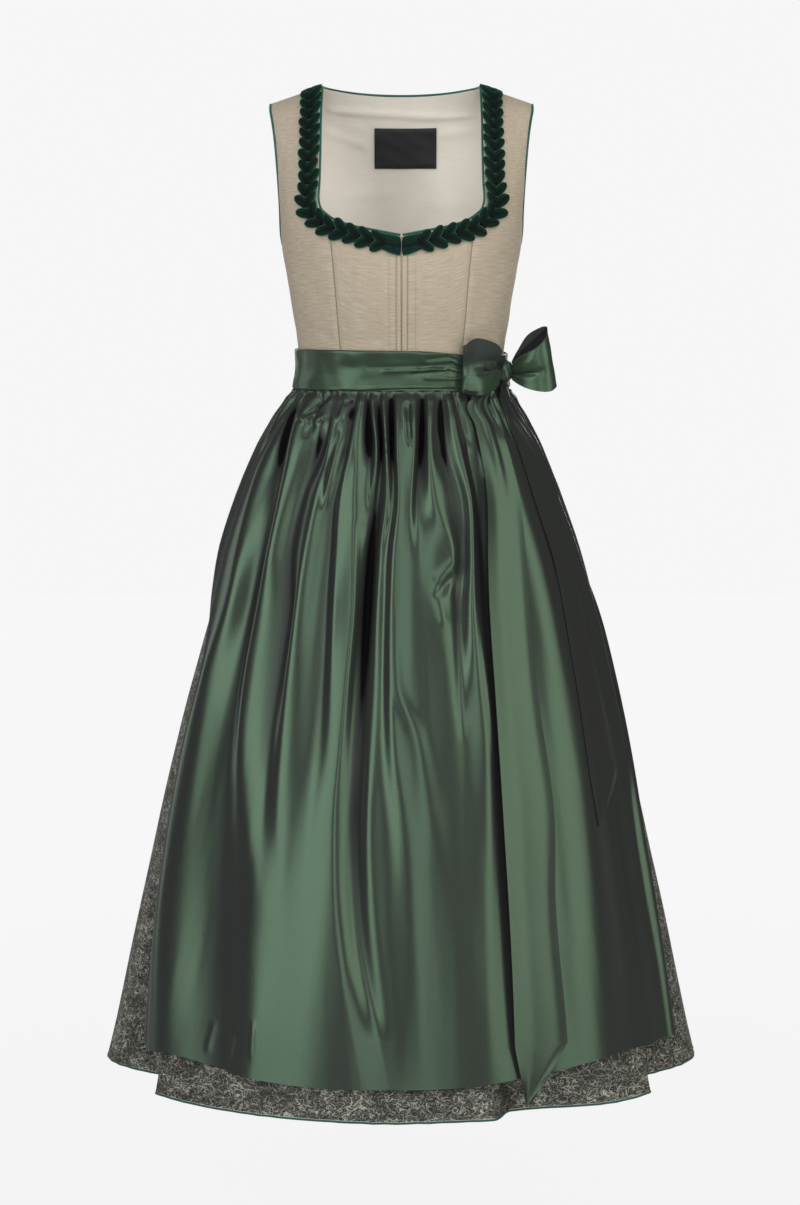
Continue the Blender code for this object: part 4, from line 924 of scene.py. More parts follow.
def make_side_front(side):
    low, corner = WAIST_DROP - SEAM_GAP, PRINCESS["drop"][0]
    drops = np.concatenate([np.linspace(0, math.sqrt(corner), 62) ** 2, np.linspace(corner, low, 76)[1:]])
    beside_neck = strap_x(np.minimum(drops, NECK_CORNER_DROP)) + PIPING_GAP + OVER_FACETS
    at_corner = strap_x(NECK_CORNER_DROP) + PIPING_GAP + OVER_FACETS
    at_corner = np.interp(drops, [NECK_CORNER_DROP, corner], [at_corner, NECK_CORNER_EDGE])
    inner = np.where(drops < NECK_CORNER_DROP, beside_neck, at_corner)
    inner = np.where(drops < corner, inner, princess_x(drops) + SEAM_GAP / 2)
    first = torso_angle(inner, drops)
    last = armhole_angle(drops, True)
    share = np.linspace(0, 1, 44)
    angle = first[:, None] + (last - first)[:, None] * share
    drop = np.repeat(drops[:, None], len(share), 1)
    base = torso(angle, drop)
    x = base[..., 0]
    relief = bodice_relief(side * x, drop) * ease(drop / 0.03)
    below = ease((drop - 0.15) / 0.01)
    relief = relief + seam_dip(x - princess_x(np.maximum(drop, corner))) * below
    near_edge = np.linalg.norm(base - base[:, -1:], axis=-1)
    relief = relief - 0.0005 * bell(near_edge, 0.0022) - 0.0003 * bell(near_edge - 0.006, 0.0012)
    angle = side * angle
    points, out = torso(angle, drop), normals(torso, angle, drop)
    out[0] = (0, 0, 1)
    points[0, :, 1] = -RIDGE_BACK_OFF
    relief[0] = 0
    points = points + out * relief[..., None]
    if side < 0:
        points, out = points[:, ::-1], out[:, ::-1]
    name, nodes = "bodice_side_" + WORD[side], ["bodice_side_front_" + WORD[side]]
    return shell(name, "linen", nodes, points, points - out * BODICE_WALL)


def back_grid(rows, half_columns):
    """Angles and drops of the back panel: the neck curve and the shoulder seams form its first row."""
    half = np.linspace(0, 1, half_columns)
    share = np.concatenate([-half[:0:-1], half])

    def angles(drop):
        return math.pi - share * (math.pi - armhole_angle(drop, False))

    def over_edge(drop):
        """Positive once the surface is clear of the neck piping or the shoulder seam."""
        point = torso(angles(drop), drop)
        inside = np.clip(1 - (point[..., 0] / (NECK_HALF + NECK_CORNER_GAP)) ** 2, 0, 1)
        neck = (NECK_BACK_DEPTH + PIPING_GAP) * np.sqrt(inside)
        return point[..., 1] - np.maximum(neck, RIDGE_BACK_OFF)

    low, high = np.full(share.shape, 1e-9), np.full(share.shape, 0.02)
    for _ in range(40):
        middle = (low + high) / 2
        clear = over_edge(middle) > 0
        low, high = np.where(clear, low, middle), np.where(clear, middle, high)
    top = np.maximum((low + high) / 2, 1e-7)
    bottom = WAIST_DROP - SEAM_GAP
    down = np.linspace(0, 1, rows)[:, None]
    even = top + (bottom - top) * down
    drop = (np.sqrt(top) + (math.sqrt(bottom) - np.sqrt(top)) * down) ** 2
    drop = drop + (even - drop) * ease(down) * 0.85
    angle = np.array([angles(row) for row in drop])
    return angle, drop


def make_back():
    angle, drop = back_grid(112, 52)
    points, out = torso(angle, drop), normals(torso, angle, drop)
    on_ridge = np.abs(points[0, :, 0]) > NECK_HALF + NECK_CORNER_GAP
    out[0, on_ridge] = (0, 0, 1)
    x = points[..., 0]
    fade = ease(drop / 0.04)
    dart_x = 0.052 + 0.10 * np.maximum(drop - 0.12, 0)
    dart = seam_dip(np.abs(x) - dart_x, 0.0006) * ease((drop - 0.10) / 0.03)
    relief = (0.0006 * noise(x * 22, drop * 24, 9, 8) + dart) * fade + pulled(x, drop, BACK_PULLS)
    near_top = np.linalg.norm(points - points[:1], axis=-1)
    # The cloth between the straps reaches up to the piping of the neck edge.
    share = np.clip(1 - (points[0, :, 0] / NECK_HALF) ** 2, 0, 1)
    y, z = NECK_BACK_DEPTH * np.sqrt(share) + 0.0010, -NECK_BACK_FALL * share - 0.0008
    reach = np.stack([0 * share, y - points[0, :, 1], z - points[0, :, 2]], -1)
    reach = reach * ease((NECK_HALF - 0.001 - np.abs(points[0, :, 0])) / 0.008)[:, None]
    points = points + reach[None] * ease(1 - near_top / 0.030)[..., None]
    out = grid_out(points) * np.sign((grid_out(points) * out).sum(-1, keepdims=True))
    out[0, on_ridge] = (0, 0, 1)
    relief = relief - 0.0004 * bell(near_top - 0.006, 0.0012) * fade
    outer, inner = points + out * relief[..., None], points - out * BODICE_WALL
    shell("bodice_back_panel", "linen", ["bodice_back"], outer, inner)
    lining_out = points - out * (BODICE_WALL + SEAM_GAP)
    folds = 0.0010 * noise(x * 30, drop * 18, 21, 8) * ease((drop - 0.01) / 0.03)
    folds = np.clip(folds + pulled(x, drop, LINING_FOLDS), -0.0001, 0.0022)
    inner = lining_out - out * (LINING_WALL + folds[..., None])
    shell("back_lining_satin", "lining", ["back_lining"], lining_out, inner)


def make_label():
    width, height, middle, first_drop = 0.0765, 0.0510, 0.0050, 0.0410
    xs = middle + width * np.linspace(-0.5, 0.5, 46)[::-1]
    x, drop = np.meshgrid(xs, first_drop + height * np.linspace(0, 1, 32))
    angle = torso_angle(x, drop, front=False)
    out = normals(torso, angle, drop)
    stand = BODICE_WALL + SEAM_GAP + LINING_WALL + SEAM_GAP + 1.5 * OVER_FACETS
    from_side = np.maximum(width / 2 - np.abs(x - middle), 0)
    from_edge = np.minimum(from_side, np.maximum(height / 2 - np.abs(drop - first_drop - height / 2), 0))
    puff = 0.0006 + 0.0008 * ease(from_edge / 0.004) - 0.0004 * bell(from_edge - 0.0022, 0.0007)
    puff = puff + 0.0003 * noise(x * 60, drop * 80, 5, 6)
    outer = torso(angle, drop) - out * (stand - 0.0001)
    inner = torso(angle, drop) - out * (stand + puff[..., None])
    return shell("label_blank", "label", ["neck_label"], outer, inner)


def neck_path(count):
    """The neck edge from the centre front, up the left strap, round the back and down the right."""
    bottom_x = np.linspace(SEAM_GAP / 2 + 0.0010, NECK_BOTTOM["x"][-1], count)
    bottom = np.stack([bottom_x, neck_bottom_drop(bottom_x)], -1)
    strap_drop = np.linspace(math.sqrt(0.148), math.sqrt(0.0004), int(count * 1.6)) ** 2
    strap = np.stack([strap_x(strap_drop), strap_drop], -1)
    front = np.concatenate([bottom, strap])
    front_angle = torso_angle(front[:, 0], front[:, 1])
    points, out = torso(front_angle, front[:, 1]), normals(torso, front_angle, front[:, 1])
    turn = np.radians(np.linspace(0, 90, int(count * 1.3)))
    x = NECK_HALF * np.cos(turn)
    back = np.stack([x, NECK_BACK_DEPTH * np.sin(turn), -NECK_BACK_FALL * np.sin(turn) ** 2], -1)
    back_out = unit(np.stack([0 * x, np.sin(turn), np.cos(turn) + 0.2], -1))
    path, out = np.concatenate([points, back]), np.concatenate([out, back_out])
    path = path - out * BODICE_WALL / 2
    for _ in range(3):
        path[1:-1] = (path[:-2] + 2 * path[1:-1] + path[2:]) / 4
        out[1:-1] = unit(out[:-2] + 2 * out[1:-1] + out[2:])
    mirror = np.array([-1, 1, 1])
    return np.concatenate([path, path[-2::-1] * mirror]), np.concatenate([out, out[-2::-1] * mirror])


def make_pipings():
    path, out = neck_path(56)
    tube("neck_edge_piping", "piping", ["neck_piping"], path, out, PIPING_RADIUS)
    levels = np.linspace(0, math.sqrt(ARMHOLE_DROP), 84)[:-1] ** 2
    front_edge = armhole_angle(levels, True, piping=True)
    back_edge = armhole_angle(levels, False, piping=True)
    front, front_out = torso(front_edge, levels), normals(torso, front_edge, levels)
    back, back_out = torso(back_edge, levels), normals(torso, back_edge, levels)
    bottom = torso(np.array([math.pi / 2]), np.array([ARMHOLE_DROP]))
    front_out[0] = (0, 0, 1)
    path = np.concatenate([bottom, front[::-1], back[1:]])
    out = np.concatenate([np.array([[1.0, 0.0, 0.0]]), front_out[::-1], back_out[1:]])
    path = path - out * BODICE_WALL / 2
    for _ in range(2):
        path = (np.roll(path, 1, 0) + 2 * path + np.roll(path, -1, 0)) / 4
    for side, word in WORD.items():
        mirror = np.array([side, 1, 1])
        name, nodes = "armhole_edge_" + word, ["armhole_piping_" + word]
        tube(name, "piping", nodes, path * mirror, out * mirror, PIPING_RADIUS, closed=True)


def make_stitches():
    """Rows of small stitches beside the placket, each a short rounded bar of thread."""
    rings, sides = 5, 6
    s = np.linspace(-1, 1, rings)
    turn = 2 * math.pi * np.arange(sides) / sides
    round_off = np.sqrt(1 - (0.94 * s) ** 2)
    radius, half_length = 0.00022, 0.00085
    ring = radius * round_off[:, None] * np.stack([np.cos(turn), np.sin(turn)])[:, None]
    shape = np.stack([*ring, np.repeat(half_length * s[:, None], sides, 1)], -1).reshape(-1, 3)
    face = grid_faces(rings, sides, True)
    points, faces = [], []
    for x, side in STITCH_ROWS:
        for drop in np.arange(0.2065, 0.3095, 0.0029):
            angle = side * torso_angle(np.array(x), np.array(drop))
            out = normals(torso, angle, np.array(drop))
            lift = centre_relief(np.array(x), np.array(drop), side) + 0.0002
            middle = torso(angle, drop) + out * lift
            across = unit(np.cross(out, np.array([0.0, 0.0, 1.0])))
            down = np.cross(across, out)
            faces.append(face + len(points) * len(shape))
            points.append(middle + shape[:, :1] * across + shape[:, 1:2] * out + shape[:, 2:] * down)
    points = np.concatenate(points)
    return piece("placket_stitches", "linen", [], points, faces, points[:, [0, 2]], 80)


# ------------------------------------------------------------------ leaf trim
SPINE = table("x drop", [
    (0.1062, 0.003), (0.1064, 0.02), (0.1068, 0.068), (0.108, 0.115), (0.1086, 0.137), (0.1052, 0.1508),
    (0.0955, 0.1612), (0.0825, 0.1694), (0.0479, 0.1804), (0.024, 0.1862), (0, 0.1896),
])


def spine_at(length):
    """x and drop on the trim's middle line at lengths from the shoulder, and the whole length."""
    fine = np.linspace(0, len(SPINE["x"]) - 1, 600)
    station = np.arange(len(SPINE["x"]), dtype=float)
    x, drop = smooth(station, SPINE["x"], fine), smooth(station, SPINE["drop"], fine)
    far = walked(torso(torso_angle(x, drop), drop))
    return np.interp(length, far, x), np.interp(length, far, drop), far[-1]


def on_torso(x, drop, side, stand):
    """A point over the torso's front by its x and drop."""
    drop = np.maximum(drop, 0.0002)
    angle = side * torso_angle(x, drop)
    return torso(angle, drop) + normals(torso, angle, drop) * stand[..., None]


def leaf_grid(length, width, root_lift, tip_lift, curl, seed):
    """A folded ribbon leaf: along, across and height over the cloth. It is fullest past its middle."""
    picked = np.random.default_rng(seed)
    s = np.linspace(0, 1, 15)[:, None]
    t = signed_power(np.linspace(-1, 1, 15), 0.8)[None, :]
    half = width / 2 * (0.30 + 0.70 * np.sin(math.pi * np.clip(s * 0.86 + 0.10, 0, 1)) ** 0.75)
    half = half * np.sqrt(np.clip(1 - ((s - 0.80) / 0.20).clip(0, 1) ** 2.4, 0.0, 1))
    along = s * length + 0 * t
    across = t * half
    ridge = 1 - np.abs(t) ** 1.6
    height = root_lift * (1 - s) ** 1.2 + tip_lift * s + curl * np.abs(t) ** 3 * s
    full = np.sqrt(np.clip(np.sin(math.pi * (0.08 + 0.88 * s)), 0, 1))
    puff = (0.0013 + 0.0004 * picked.uniform(-1, 1)) * ridge * full
    fold = -0.0006 * bell(t - 0.1 * picked.uniform(-1, 1), 0.18) * ease(s / 0.3)
    # Painted sheen on the rims and tip, and painted shade along the middle fold and at the root.
    shade = 0.42 + 0.58 * ease((np.abs(t) - 0.74) / 0.26) * ease(s / 0.4) + 0.45 * ease((s - 0.90) / 0.1)
    shade = shade - 0.42 * bell(t, 0.22) - 0.45 * (1 - s) ** 1.5
    return along, across, height, puff + fold, np.clip(shade, 0, 1)


class Sheets:
    """Closed sheets of cloth on one side of the dress, gathered into one mesh."""

    def __init__(self, side):
        self.side, self.count = side, 0
        self.points, self.faces, self.uvs, self.shades = [], [], [], []

    def add(self, outer, inner, uv, shade):
        for block in shell_faces(*outer.shape[:2]):
            self.faces.append((block if self.side > 0 else block[:, ::-1]) + self.count)
        self.points.extend([outer.reshape(-1, 3), inner.reshape(-1, 3)])
        self.uvs.extend([uv, uv])
        self.shades.extend([shade.ravel(), shade.ravel()])
        self.count += 2 * shade.size

    def piece(self, name, slot, nodes, sharp):
        points, uvs, shades = (np.concatenate(parts) for parts in (self.points, self.uvs, self.shades))
        return piece(name, slot, nodes, points, self.faces, uvs, sharp, shades)


def trim_band(trim, total):
    """The band under the leaves."""
    lengths = np.linspace(0.0, total - 0.004, 150)
    x, drop, _ = spine_at(lengths)
    tangent = unit(np.stack([np.gradient(x), np.gradient(drop)], -1))
    across = np.stack([tangent[:, 1], -tangent[:, 0]], -1)  # outward, to the armhole
    t = np.linspace(-1, 1, 11)[None, :]
    half = np.where(x < 0.09, 0.0085, 0.0082)[:, None]
    bx = x[:, None] + across[:, :1] * t * half
    bd = drop[:, None] + across[:, 1:] * t * half
    lift = 0.0012 + 0.0009 * (1 - t**2) * ease(lengths[:, None] / 0.012)
    outer = on_torso(bx, bd, trim.side, lift + 0 * bx)
    inner = on_torso(bx, bd, trim.side, np.full(bx.shape, 0.0005))
    uv = np.stack([t * half + 0 * bx, -lengths[:, None] + 0 * bx], -1).reshape(-1, 2)
    # Painted shade: the band under the leaves is nearly black all over.
    trim.add(outer, inner, uv, np.full(bx.shape, 0.10))


def leaf_starts(total):
    """Where each pair of leaves begins along the middle line, closer together on the strap."""
    starts, at = [], 0.012
    while at < total - 0.019:
        starts.append(at)
        on_strap = 1 - ease((spine_at(at)[1] - 0.138) / 0.02)
        at += 0.0134 * on_strap + 0.0158 * (1 - on_strap)
    return starts


def leaf_pair(trim, picked, begin, seed):
    """Two leaves that lean out to each side of the middle line."""
    x0, d0, _ = spine_at(begin)
    x1, d1, _ = spine_at(begin + 0.004)
    x2, d2, _ = spine_at(max(begin - 0.004, 0.0))
    ahead = unit(np.array([x1 - x2, d1 - d2]))
    outwards = np.array([ahead[1], -ahead[0]])
    bend = 1 - abs(ease((d0 - 0.138) / 0.02) * 2 - 1) if 0.138 < d0 < 0.158 else 0
    flat = 1 - 0.45 * ease((0.030 - begin) / 0.03)
    for arm in (1, -1):
        lean = math.radians(picked.uniform(35, 42) + (10 * bend if arm > 0 else -4 * bend))
        length = (0.0190 if arm > 0 else 0.0196) * picked.uniform(0.94, 1.06)
        width = picked.uniform(0.0102, 0.0120)
        if arm > 0 and d0 > 0.135:
            length, width = length * 1.10, width * 1.12
        tip_lift, curl = picked.uniform(0.0012, 0.0018), picked.uniform(-0.0004, 0.0008)
        along, sidewise, height, puff, shade = leaf_grid(length, width, 0.0034, tip_lift, curl, seed)
        axis = -ahead * math.cos(lean) + arm * outwards * math.sin(lean)
        beside = np.array([-axis[1], axis[0]]) * arm
        px = x0 - arm * outwards[0] * 0.0006 + axis[0] * along + beside[0] * sidewise
        pd = d0 - arm * outwards[1] * 0.0006 + axis[1] * along + beside[1] * sidewise
        top = on_torso(px, pd, trim.side, (height + puff) * flat + 0.0010)
        low = on_torso(px, pd, trim.side, height * flat * 0.9 + 0.0006)
        uv = np.stack([sidewise, along], -1).reshape(-1, 2)
        step = -1 if arm > 0 else 1
        trim.add(top[:, ::step], low[:, ::step], uv, shade[:, ::step])


def trim_end(trim):
    """The plain end of the ribbon beside the centre front."""
    s = np.linspace(0, 1, 20)[:, None]
    t = np.linspace(0, 1, 16)[None, :]
    inner_x, outer_x = 0.0004 + 0.0245 * s, 0.0004 + 0.0200 * s
    inner_d = np.interp(inner_x, TRIM_END["inner_x"], TRIM_END["inner_drop"])
    outer_d = np.interp(outer_x, TRIM_END["outer_x"], TRIM_END["outer_drop"]) - 0.0040 * s**2
    notch = 0.0022 * (1 - s) ** 6 * ((1 - t) ** 5 + t**5) - 0.0003
    px = inner_x + (outer_x - inner_x) * t + notch
    pd = inner_d - 0.0006 + (outer_d - inner_d) * t
    edge, middle = np.minimum(t, 1 - t), t - 0.50 - 0.04 * s
    # Painted sheen along its edges and painted shade along its middle fold.
    shade = 0.30 + 0.6 * np.exp(-edge / 0.05) - 0.25 * bell(middle, 0.07)
    crown = np.sin(math.pi * t) * np.sin(math.pi * np.clip(s + 0.1, 0, 1))
    puff = 0.0022 + 0.0008 * crown + 0.0004 * (1 - s) - 0.0008 * bell(middle, 0.06)
    outer = on_torso(px, pd, trim.side, puff + 0.0016 * ease((s - 0.2) / 0.5))
    inner = on_torso(px, pd, trim.side, np.full(px.shape, 0.0006))
    uv = np.stack([px.T, pd.T], -1).reshape(-1, 2)
    trim.add(outer.transpose(1, 0, 2), inner.transpose(1, 0, 2), uv, shade.T)


def make_trim(side):
    """Leaves of folded velvet ribbon in pairs along a band, each pair over the next one down."""
    picked, trim = np.random.default_rng(40 + side), Sheets(side)
    total = spine_at(0.0)[2]
    trim_band(trim, total)
    for number, begin in enumerate(leaf_starts(total)):
        leaf_pair(trim, picked, begin, 500 + number)
    trim_end(trim)
    return trim.piece("leaf_trim_" + WORD[side], "velvet", ["neck_trim_" + WORD[side]], 60)


# ------------------------------------------------------------------ skirt
def lap(degrees):
    """The same direction from -180 up to 180."""
    return (degrees + 180) % 360 - 180


def skirt_relief(degrees, drop):
    """Gathers and soft ridges at the back, and slow swells all round."""
    off_front = ease((np.abs(lap(degrees)) - 92) / 14)
    picked = np.random.default_rng(5)
    total = 0
    for middle in np.arange(-262.0, -95.0, 5.6):
        centre = middle + picked.uniform(-1.6, 1.6)
        height, reach = picked.uniform(0.0018, 0.0036), picked.uniform(0.05, 0.16)
        drift = picked.uniform(-14, 14) * (drop - 0.36)
        off = lap(degrees - centre - drift)
        wide = 1.5 + 10 * np.clip(drop - 0.36, 0, 1)
        total = total + height * bell(off, wide) * bell(drop - 0.36, reach)
    along = np.clip((drop - 0.36) / 0.82, 0, 1)
    for top, low, half, mm, start, end in zip(*BACK_CREASES.values()):
        off = lap(degrees - top - (low - top) * along)
        ridge = bell(off, half * (1 + 1.2 * along), 1.4) * (0.4 + 0.6 * along)
        total = total + mm / 1000 * ridge * ease((drop - start) / 0.10) * ease((end - drop) / 0.20)
    swell = 0.0012 * noise(np.radians(degrees) * 5, drop * 6, 17, 8) * ease((drop - 0.40) / 0.2)
    ripple = 0.0010 * noise(np.radians(degrees) * 22, drop * 3, 27, 8) * ease((drop - 0.95) / 0.2)
    return total * off_front + swell + ripple


def skirt_columns(first, last, count):
    """Degrees from first to last, drawn together where a fold turns under."""
    even = np.linspace(first, last, count * 12)
    density = np.ones_like(even)
    for edge, side, width in zip(SKIRT_FOLDS["edge"], SKIRT_FOLDS["side"], SKIRT_FOLDS["width"]):
        for turn in (-360, 0, 360):
            middle = edge + turn + side * width * FOLD_LIP / 2
            density += 4.0 * bell(even - middle, width * FOLD_LIP)
    return drawn_together(even, density, count + 1)


def make_skirt(word, first, last, count, rows):
    gap = math.degrees(SEAM_GAP / 12 / SKIRT["side"][0])
    columns = skirt_columns(first + gap, last - gap, count)
    low = HEM_DROP - PIPING_GAP + 0.0002
    drops = WAIST_DROP + SEAM_GAP + (low - WAIST_DROP - SEAM_GAP) * np.linspace(0, 1, rows) ** 1.15
    degrees, drop = np.meshgrid(columns, drops)
    angle = np.radians(degrees)
    base = skirt(angle, drop)
    at_seam = ease((degrees - columns[0]) / 0.8) * ease((columns[-1] - degrees) / 0.8)
    out = level_outward(angle, drop)
    under_band = ease((drop - 0.3605) / 0.012)
    relief = skirt_relief(degrees, drop) * under_band * at_seam
    points = base + out * (relief - under_apron(degrees, drop))[..., None]
    face_out = grid_out(points)
    shell("skirt_" + word + "_cloth", "jacquard", ["skirt_" + word], points, points - face_out * SKIRT_WALL)
    edge = points[-1] + unit(points[-1] - points[-2]) * HEM_CORD_OFF
    path = edge - face_out[-1] * SKIRT_WALL / 2
    tube("hem_cord_" + word, "piping", ["hem_piping_" + word], path, face_out[-1], HEM_PIPING_RADIUS)


# ------------------------------------------------------------------ apron
def crease(rows, degrees, drop):
    """A crease that runs down the cloth, by its rows in APRON_CREASES."""
    knots = np.array(rows).T
    middle, to_right, to_left, mm = (smooth(knots[0], column, drop) for column in knots[1:])
    off = degrees - middle
    return mm / 1000 * bell(off, np.where(off < 0, to_right, to_left), 1.4)


def between(knots, values, at):
    """A curve through the values that is level at each crest and valley and never overshoots."""
    rise = np.diff(values) / np.diff(knots)
    slope = np.zeros(len(knots))
    same = rise[:-1] * rise[1:] > 0
    slope[1:-1][same] = (2 * rise[:-1] * rise[1:] / (rise[:-1] + rise[1:]))[same]
    return through(knots, values, slope, at)


def long_folds(degrees, drop):
    """Height of the apron's long folds. Each row of the arrays is one level of the cloth."""
    total = np.zeros(degrees.shape)
    for row in range(len(degrees)):
        level = float(np.mean(drop[row]))
        first, last = apron_edges(level)
        places, heights = ([smooth(FOLD_DROPS, line[k], level) for line in APRON_FOLDS] for k in (0, 1))
        knots = np.array([first - 1, *places, last + 1], float)
        heights = np.array([2, *heights, 2]) / 1000
        heights = heights * (1.3 - 0.3 * ease((level - 0.38) / 0.10))
        soft = 0.35 + 0.25 * ease((level - 0.40) / 0.1) + 1.5 * ease((level - 0.66) / 0.3)
        near = [between(knots, heights, degrees[row] + soft * step) for step in np.linspace(-1, 1, 9)]
        total[row] = np.mean(near, axis=0)
    return total


def under_apron(degrees, drop):
    """How far the skirt stays in under the apron, to leave room for its folds."""
    lengthwise = ease((drop - 0.378) / 0.07) * ease((1.07 - drop) / 0.16)
    return 0.0125 * lengthwise * ease((64 - np.abs(degrees)) / 12)


def gather_list():
    """Each gather's place, half-width, depth, reach down the cloth, drift and how suddenly it ends."""
    draw = np.random.default_rng(GATHER_SEED).uniform
    spread = ((1.5, 2.1), (0.0050, 0.0085), (0.05, 0.12), (-2.4, 2.4), (1.5, 3.0))
    return [(spot, *[draw(low, high) for low, high in spread]) for spot in GATHER_SPOTS]


GATHER_LIST = gather_list()


def apron_edges(drop):
    return tuple(smooth(APRON_EDGE["drop"], APRON_EDGE[side], drop) for side in ("right", "left"))


def apron_stand(degrees, drop):
    """How far the apron's outer face stands over the skirt's smooth form."""
    first, last = apron_edges(drop)
    inside = np.minimum(degrees - first, last - degrees)
    middle = ease(inside / 12)
    below = drop - 0.3603
    belly = 0.0050 * ease(below / 0.03) * np.exp(-np.clip(below - 0.03, 0, 1) / 0.12)
    belly = belly * ease((90 - np.abs(degrees)) / 14)
    sewn = 0.2 + 0.8 * ease(below / 0.010)
    total = 0.0026 + 0.0045 * middle * sewn + belly + long_folds(degrees, drop) * ease(inside / 4) * sewn
    for spot, half, depth, reach, drift, power in GATHER_LIST:
        down = np.clip(below / reach, 0, 1.3)
        fade = np.clip(1 - down**power, 0, 1) * ease(below / 0.004 + 0.35) * (0.35 if abs(spot) > 72 else 1)
        total = total - depth * bell(degrees - spot - drift * down, half * (1 + 0.8 * down), 1.4) * fade
    for rows in APRON_CREASES:
        total = total + crease(rows, degrees, drop) * (0.3 + 0.7 * ease(inside / 5))
    for drop_a, deg_a, drop_b, deg_b, half, mm in zip(*APRON_CROSS.values()):
        reach = smooth(SKIRT["drop"], SKIRT["side"] * 0.93, np.array((drop_a + drop_b) / 2))
        scale = math.radians(1) * reach  # metres a degree at this drop
        off, along = line_share(degrees * scale, drop, (deg_a * scale, drop_a, deg_b * scale, drop_b))
        total = total + mm / 1000 * bell(off, half, 1.4) * ease((1.15 - np.abs(along * 2 - 1)) / 0.5)
    for end, deg, half, mm in GATHER_ENDS:
        rise = bell(drop - end, np.where(drop < end, 0.020, 0.007))
        total = total + mm / 1000 * bell(degrees - deg, half, 1.4) * rise
    slow = 0.0004 * noise(np.radians(degrees) * 9, drop * 7, 31, 8) * middle
    fine = 0.00007 * noise(np.radians(degrees) * 30, drop * 10, 33, 10) * middle
    flare = 0.0090 * ease((3.6 - (last - degrees)) / 3.2) * ease((drop - 0.50) / 0.15)
    return np.maximum(total + slow + fine + flare, 0.0019 - under_apron(degrees, drop))


def apron_hem(degrees):
    return smooth(APRON_HEM_LINE["degrees"], APRON_HEM_LINE["drop"], degrees)


def apron_columns(count):
    """Shares across the apron, closest at the front where the creases are."""
    even = np.linspace(0, 1, 2000)
    return drawn_together(even, 0.55 + bell(even - 0.50, 0.24), count)


def depth_below(stand, reach):
    """0 on the open cloth to 1 in its deepest valleys, where little light gets in."""
    wide = np.pad(stand, ((0, 0), (reach, reach)), "edge")
    beside = [wide[:, k : k + stand.shape[1]] for k in range(2 * reach + 1)]
    walls = np.minimum(np.max(beside[:reach], 0), np.max(beside[reach + 1 :], 0))
    return np.clip((walls - stand - 0.003) / 0.009, 0, 1)


def make_apron():
    rows, columns = 262, 352
    below = np.linspace(0, 1, rows)
    level = APRON_TOP - 0.0006 + (APRON_HEM - APRON_TOP) * (0.55 * below + 0.45 * below**2)
    first, last = apron_edges(level)
    share = apron_columns(columns)
    degrees = first[:, None] + (last - first)[:, None] * share
    drop = np.repeat(level[:, None], columns, 1)
    hem = apron_hem(degrees)
    late = np.clip((drop - 0.95) / (APRON_HEM - 0.95), 0, 1)
    drop = drop + (hem - APRON_HEM) * late**1.5
    angle = np.radians(degrees)
    stand = apron_stand(degrees, drop)
    # Painted shade in the folds' valleys, stronger near the band, and at the apron's sides, where it also
    # takes down the sheen.
    painted_shading = np.clip(depth_below(stand, 15) * (1 + 1.6 * ease((0.46 - level) / 0.07))[:, None], 0, 1)
    painted_shading = np.maximum(painted_shading, 0.45 * ease((np.abs(degrees) - 77) / 10))
    painted_shading = np.pad(painted_shading, ((0, 3), (3, 3)), "edge")
    points = skirt_base(angle, drop) + level_outward(angle, drop) * stand[..., None]
    # The cloth turns under at its sides and hem.
    out = grid_out(points)
    left_in, right_in = unit(points[:, 6] - points[:, 0]), unit(points[:, -7] - points[:, -1])

    def turned(edge, outward, inward):
        steps = ((0.0002, 0.0006), (0.0012, 0.0011), (0.0070, 0.0009))
        return [edge + inward * across - outward * under for across, under in steps]

    first_side = np.stack(turned(points[:, 0], out[:, 0], left_in)[::-1], 1)
    last_side = np.stack(turned(points[:, -1], out[:, -1], right_in), 1)
    points = np.concatenate([first_side, points, last_side], 1)
    out = grid_out(points)
    out[:, :3], out[:, -3:] = out[:, 3:4], out[:, -4:-3]
    up = unit(points[-8] - points[-1])
    hem_rows = np.stack(turned(points[-1], out[-1], up), 0)
    points = np.concatenate([points, hem_rows], 0)
    faces, uv = [grid_faces(*points.shape[:2])], cloth_uv(points)
    return piece("apron_cloth", "satin", ["apron_panel"], points.reshape(-1, 3), faces, uv, 70, painted_shading)


# ------------------------------------------------------------------ waistband, tie and bow
def tie_relief(degrees, drop, seed, middle, half):
    """The tie's soft level folds, pulled together towards the bow. They fade at the ends of its stretch."""
    total = 0.0004 * noise(np.radians(degrees) * 4, drop * 190, seed, 8, 0.4, 2.0)
    total = total + 0.0005 * noise(np.radians(degrees) * 7, drop * 60, seed + 1, 8)
    scale = math.radians(1.0) * 0.115
    rows = [(a * scale, b, c * scale, d, wide, mm) for a, b, c, d, wide, mm in zip(*TIE_CREASES.values())]
    total = total + pulled(degrees * scale, drop, rows, 1.4)
    return total * ease((np.abs(np.abs(degrees - middle) - half) - 3) / 14)


def band(name, node_name, ends, count, rows, top, bottom, inner_stand, thickness, relief, painted_side_shade):
    """A band round the waist between two angles; its edges are rounded. Painted shade darkens it at its
    sides.
    """
    degrees = np.linspace(*ends, count)[None, :]
    share = np.linspace(0, 1, rows)[:, None]
    high, low = top(degrees), bottom(degrees)
    drop = high + (low - high) * share
    degrees = np.broadcast_to(degrees, drop.shape)
    angle = np.radians(degrees)
    points, out = waist(angle, drop), normals(waist, angle, drop)
    edge = np.minimum(share, 1 - share) * (low - high)
    rounded = 1 - np.exp(-edge / 0.0009)
    outer = inner_stand + thickness * (0.45 + 0.55 * rounded) + relief(degrees, drop) * rounded
    outer = np.maximum(outer, inner_stand + 0.0003)
    top, under = points + out * outer[..., None], points + out * inner_stand
    return shell(name, "satin", [node_name], top, under, sharp=60, painted_shading=0.4 * painted_side_shade(degrees))


def top_line(degrees):
    return smooth(BAND_TOP_LINE["degrees"], BAND_TOP_LINE["drop"], degrees)


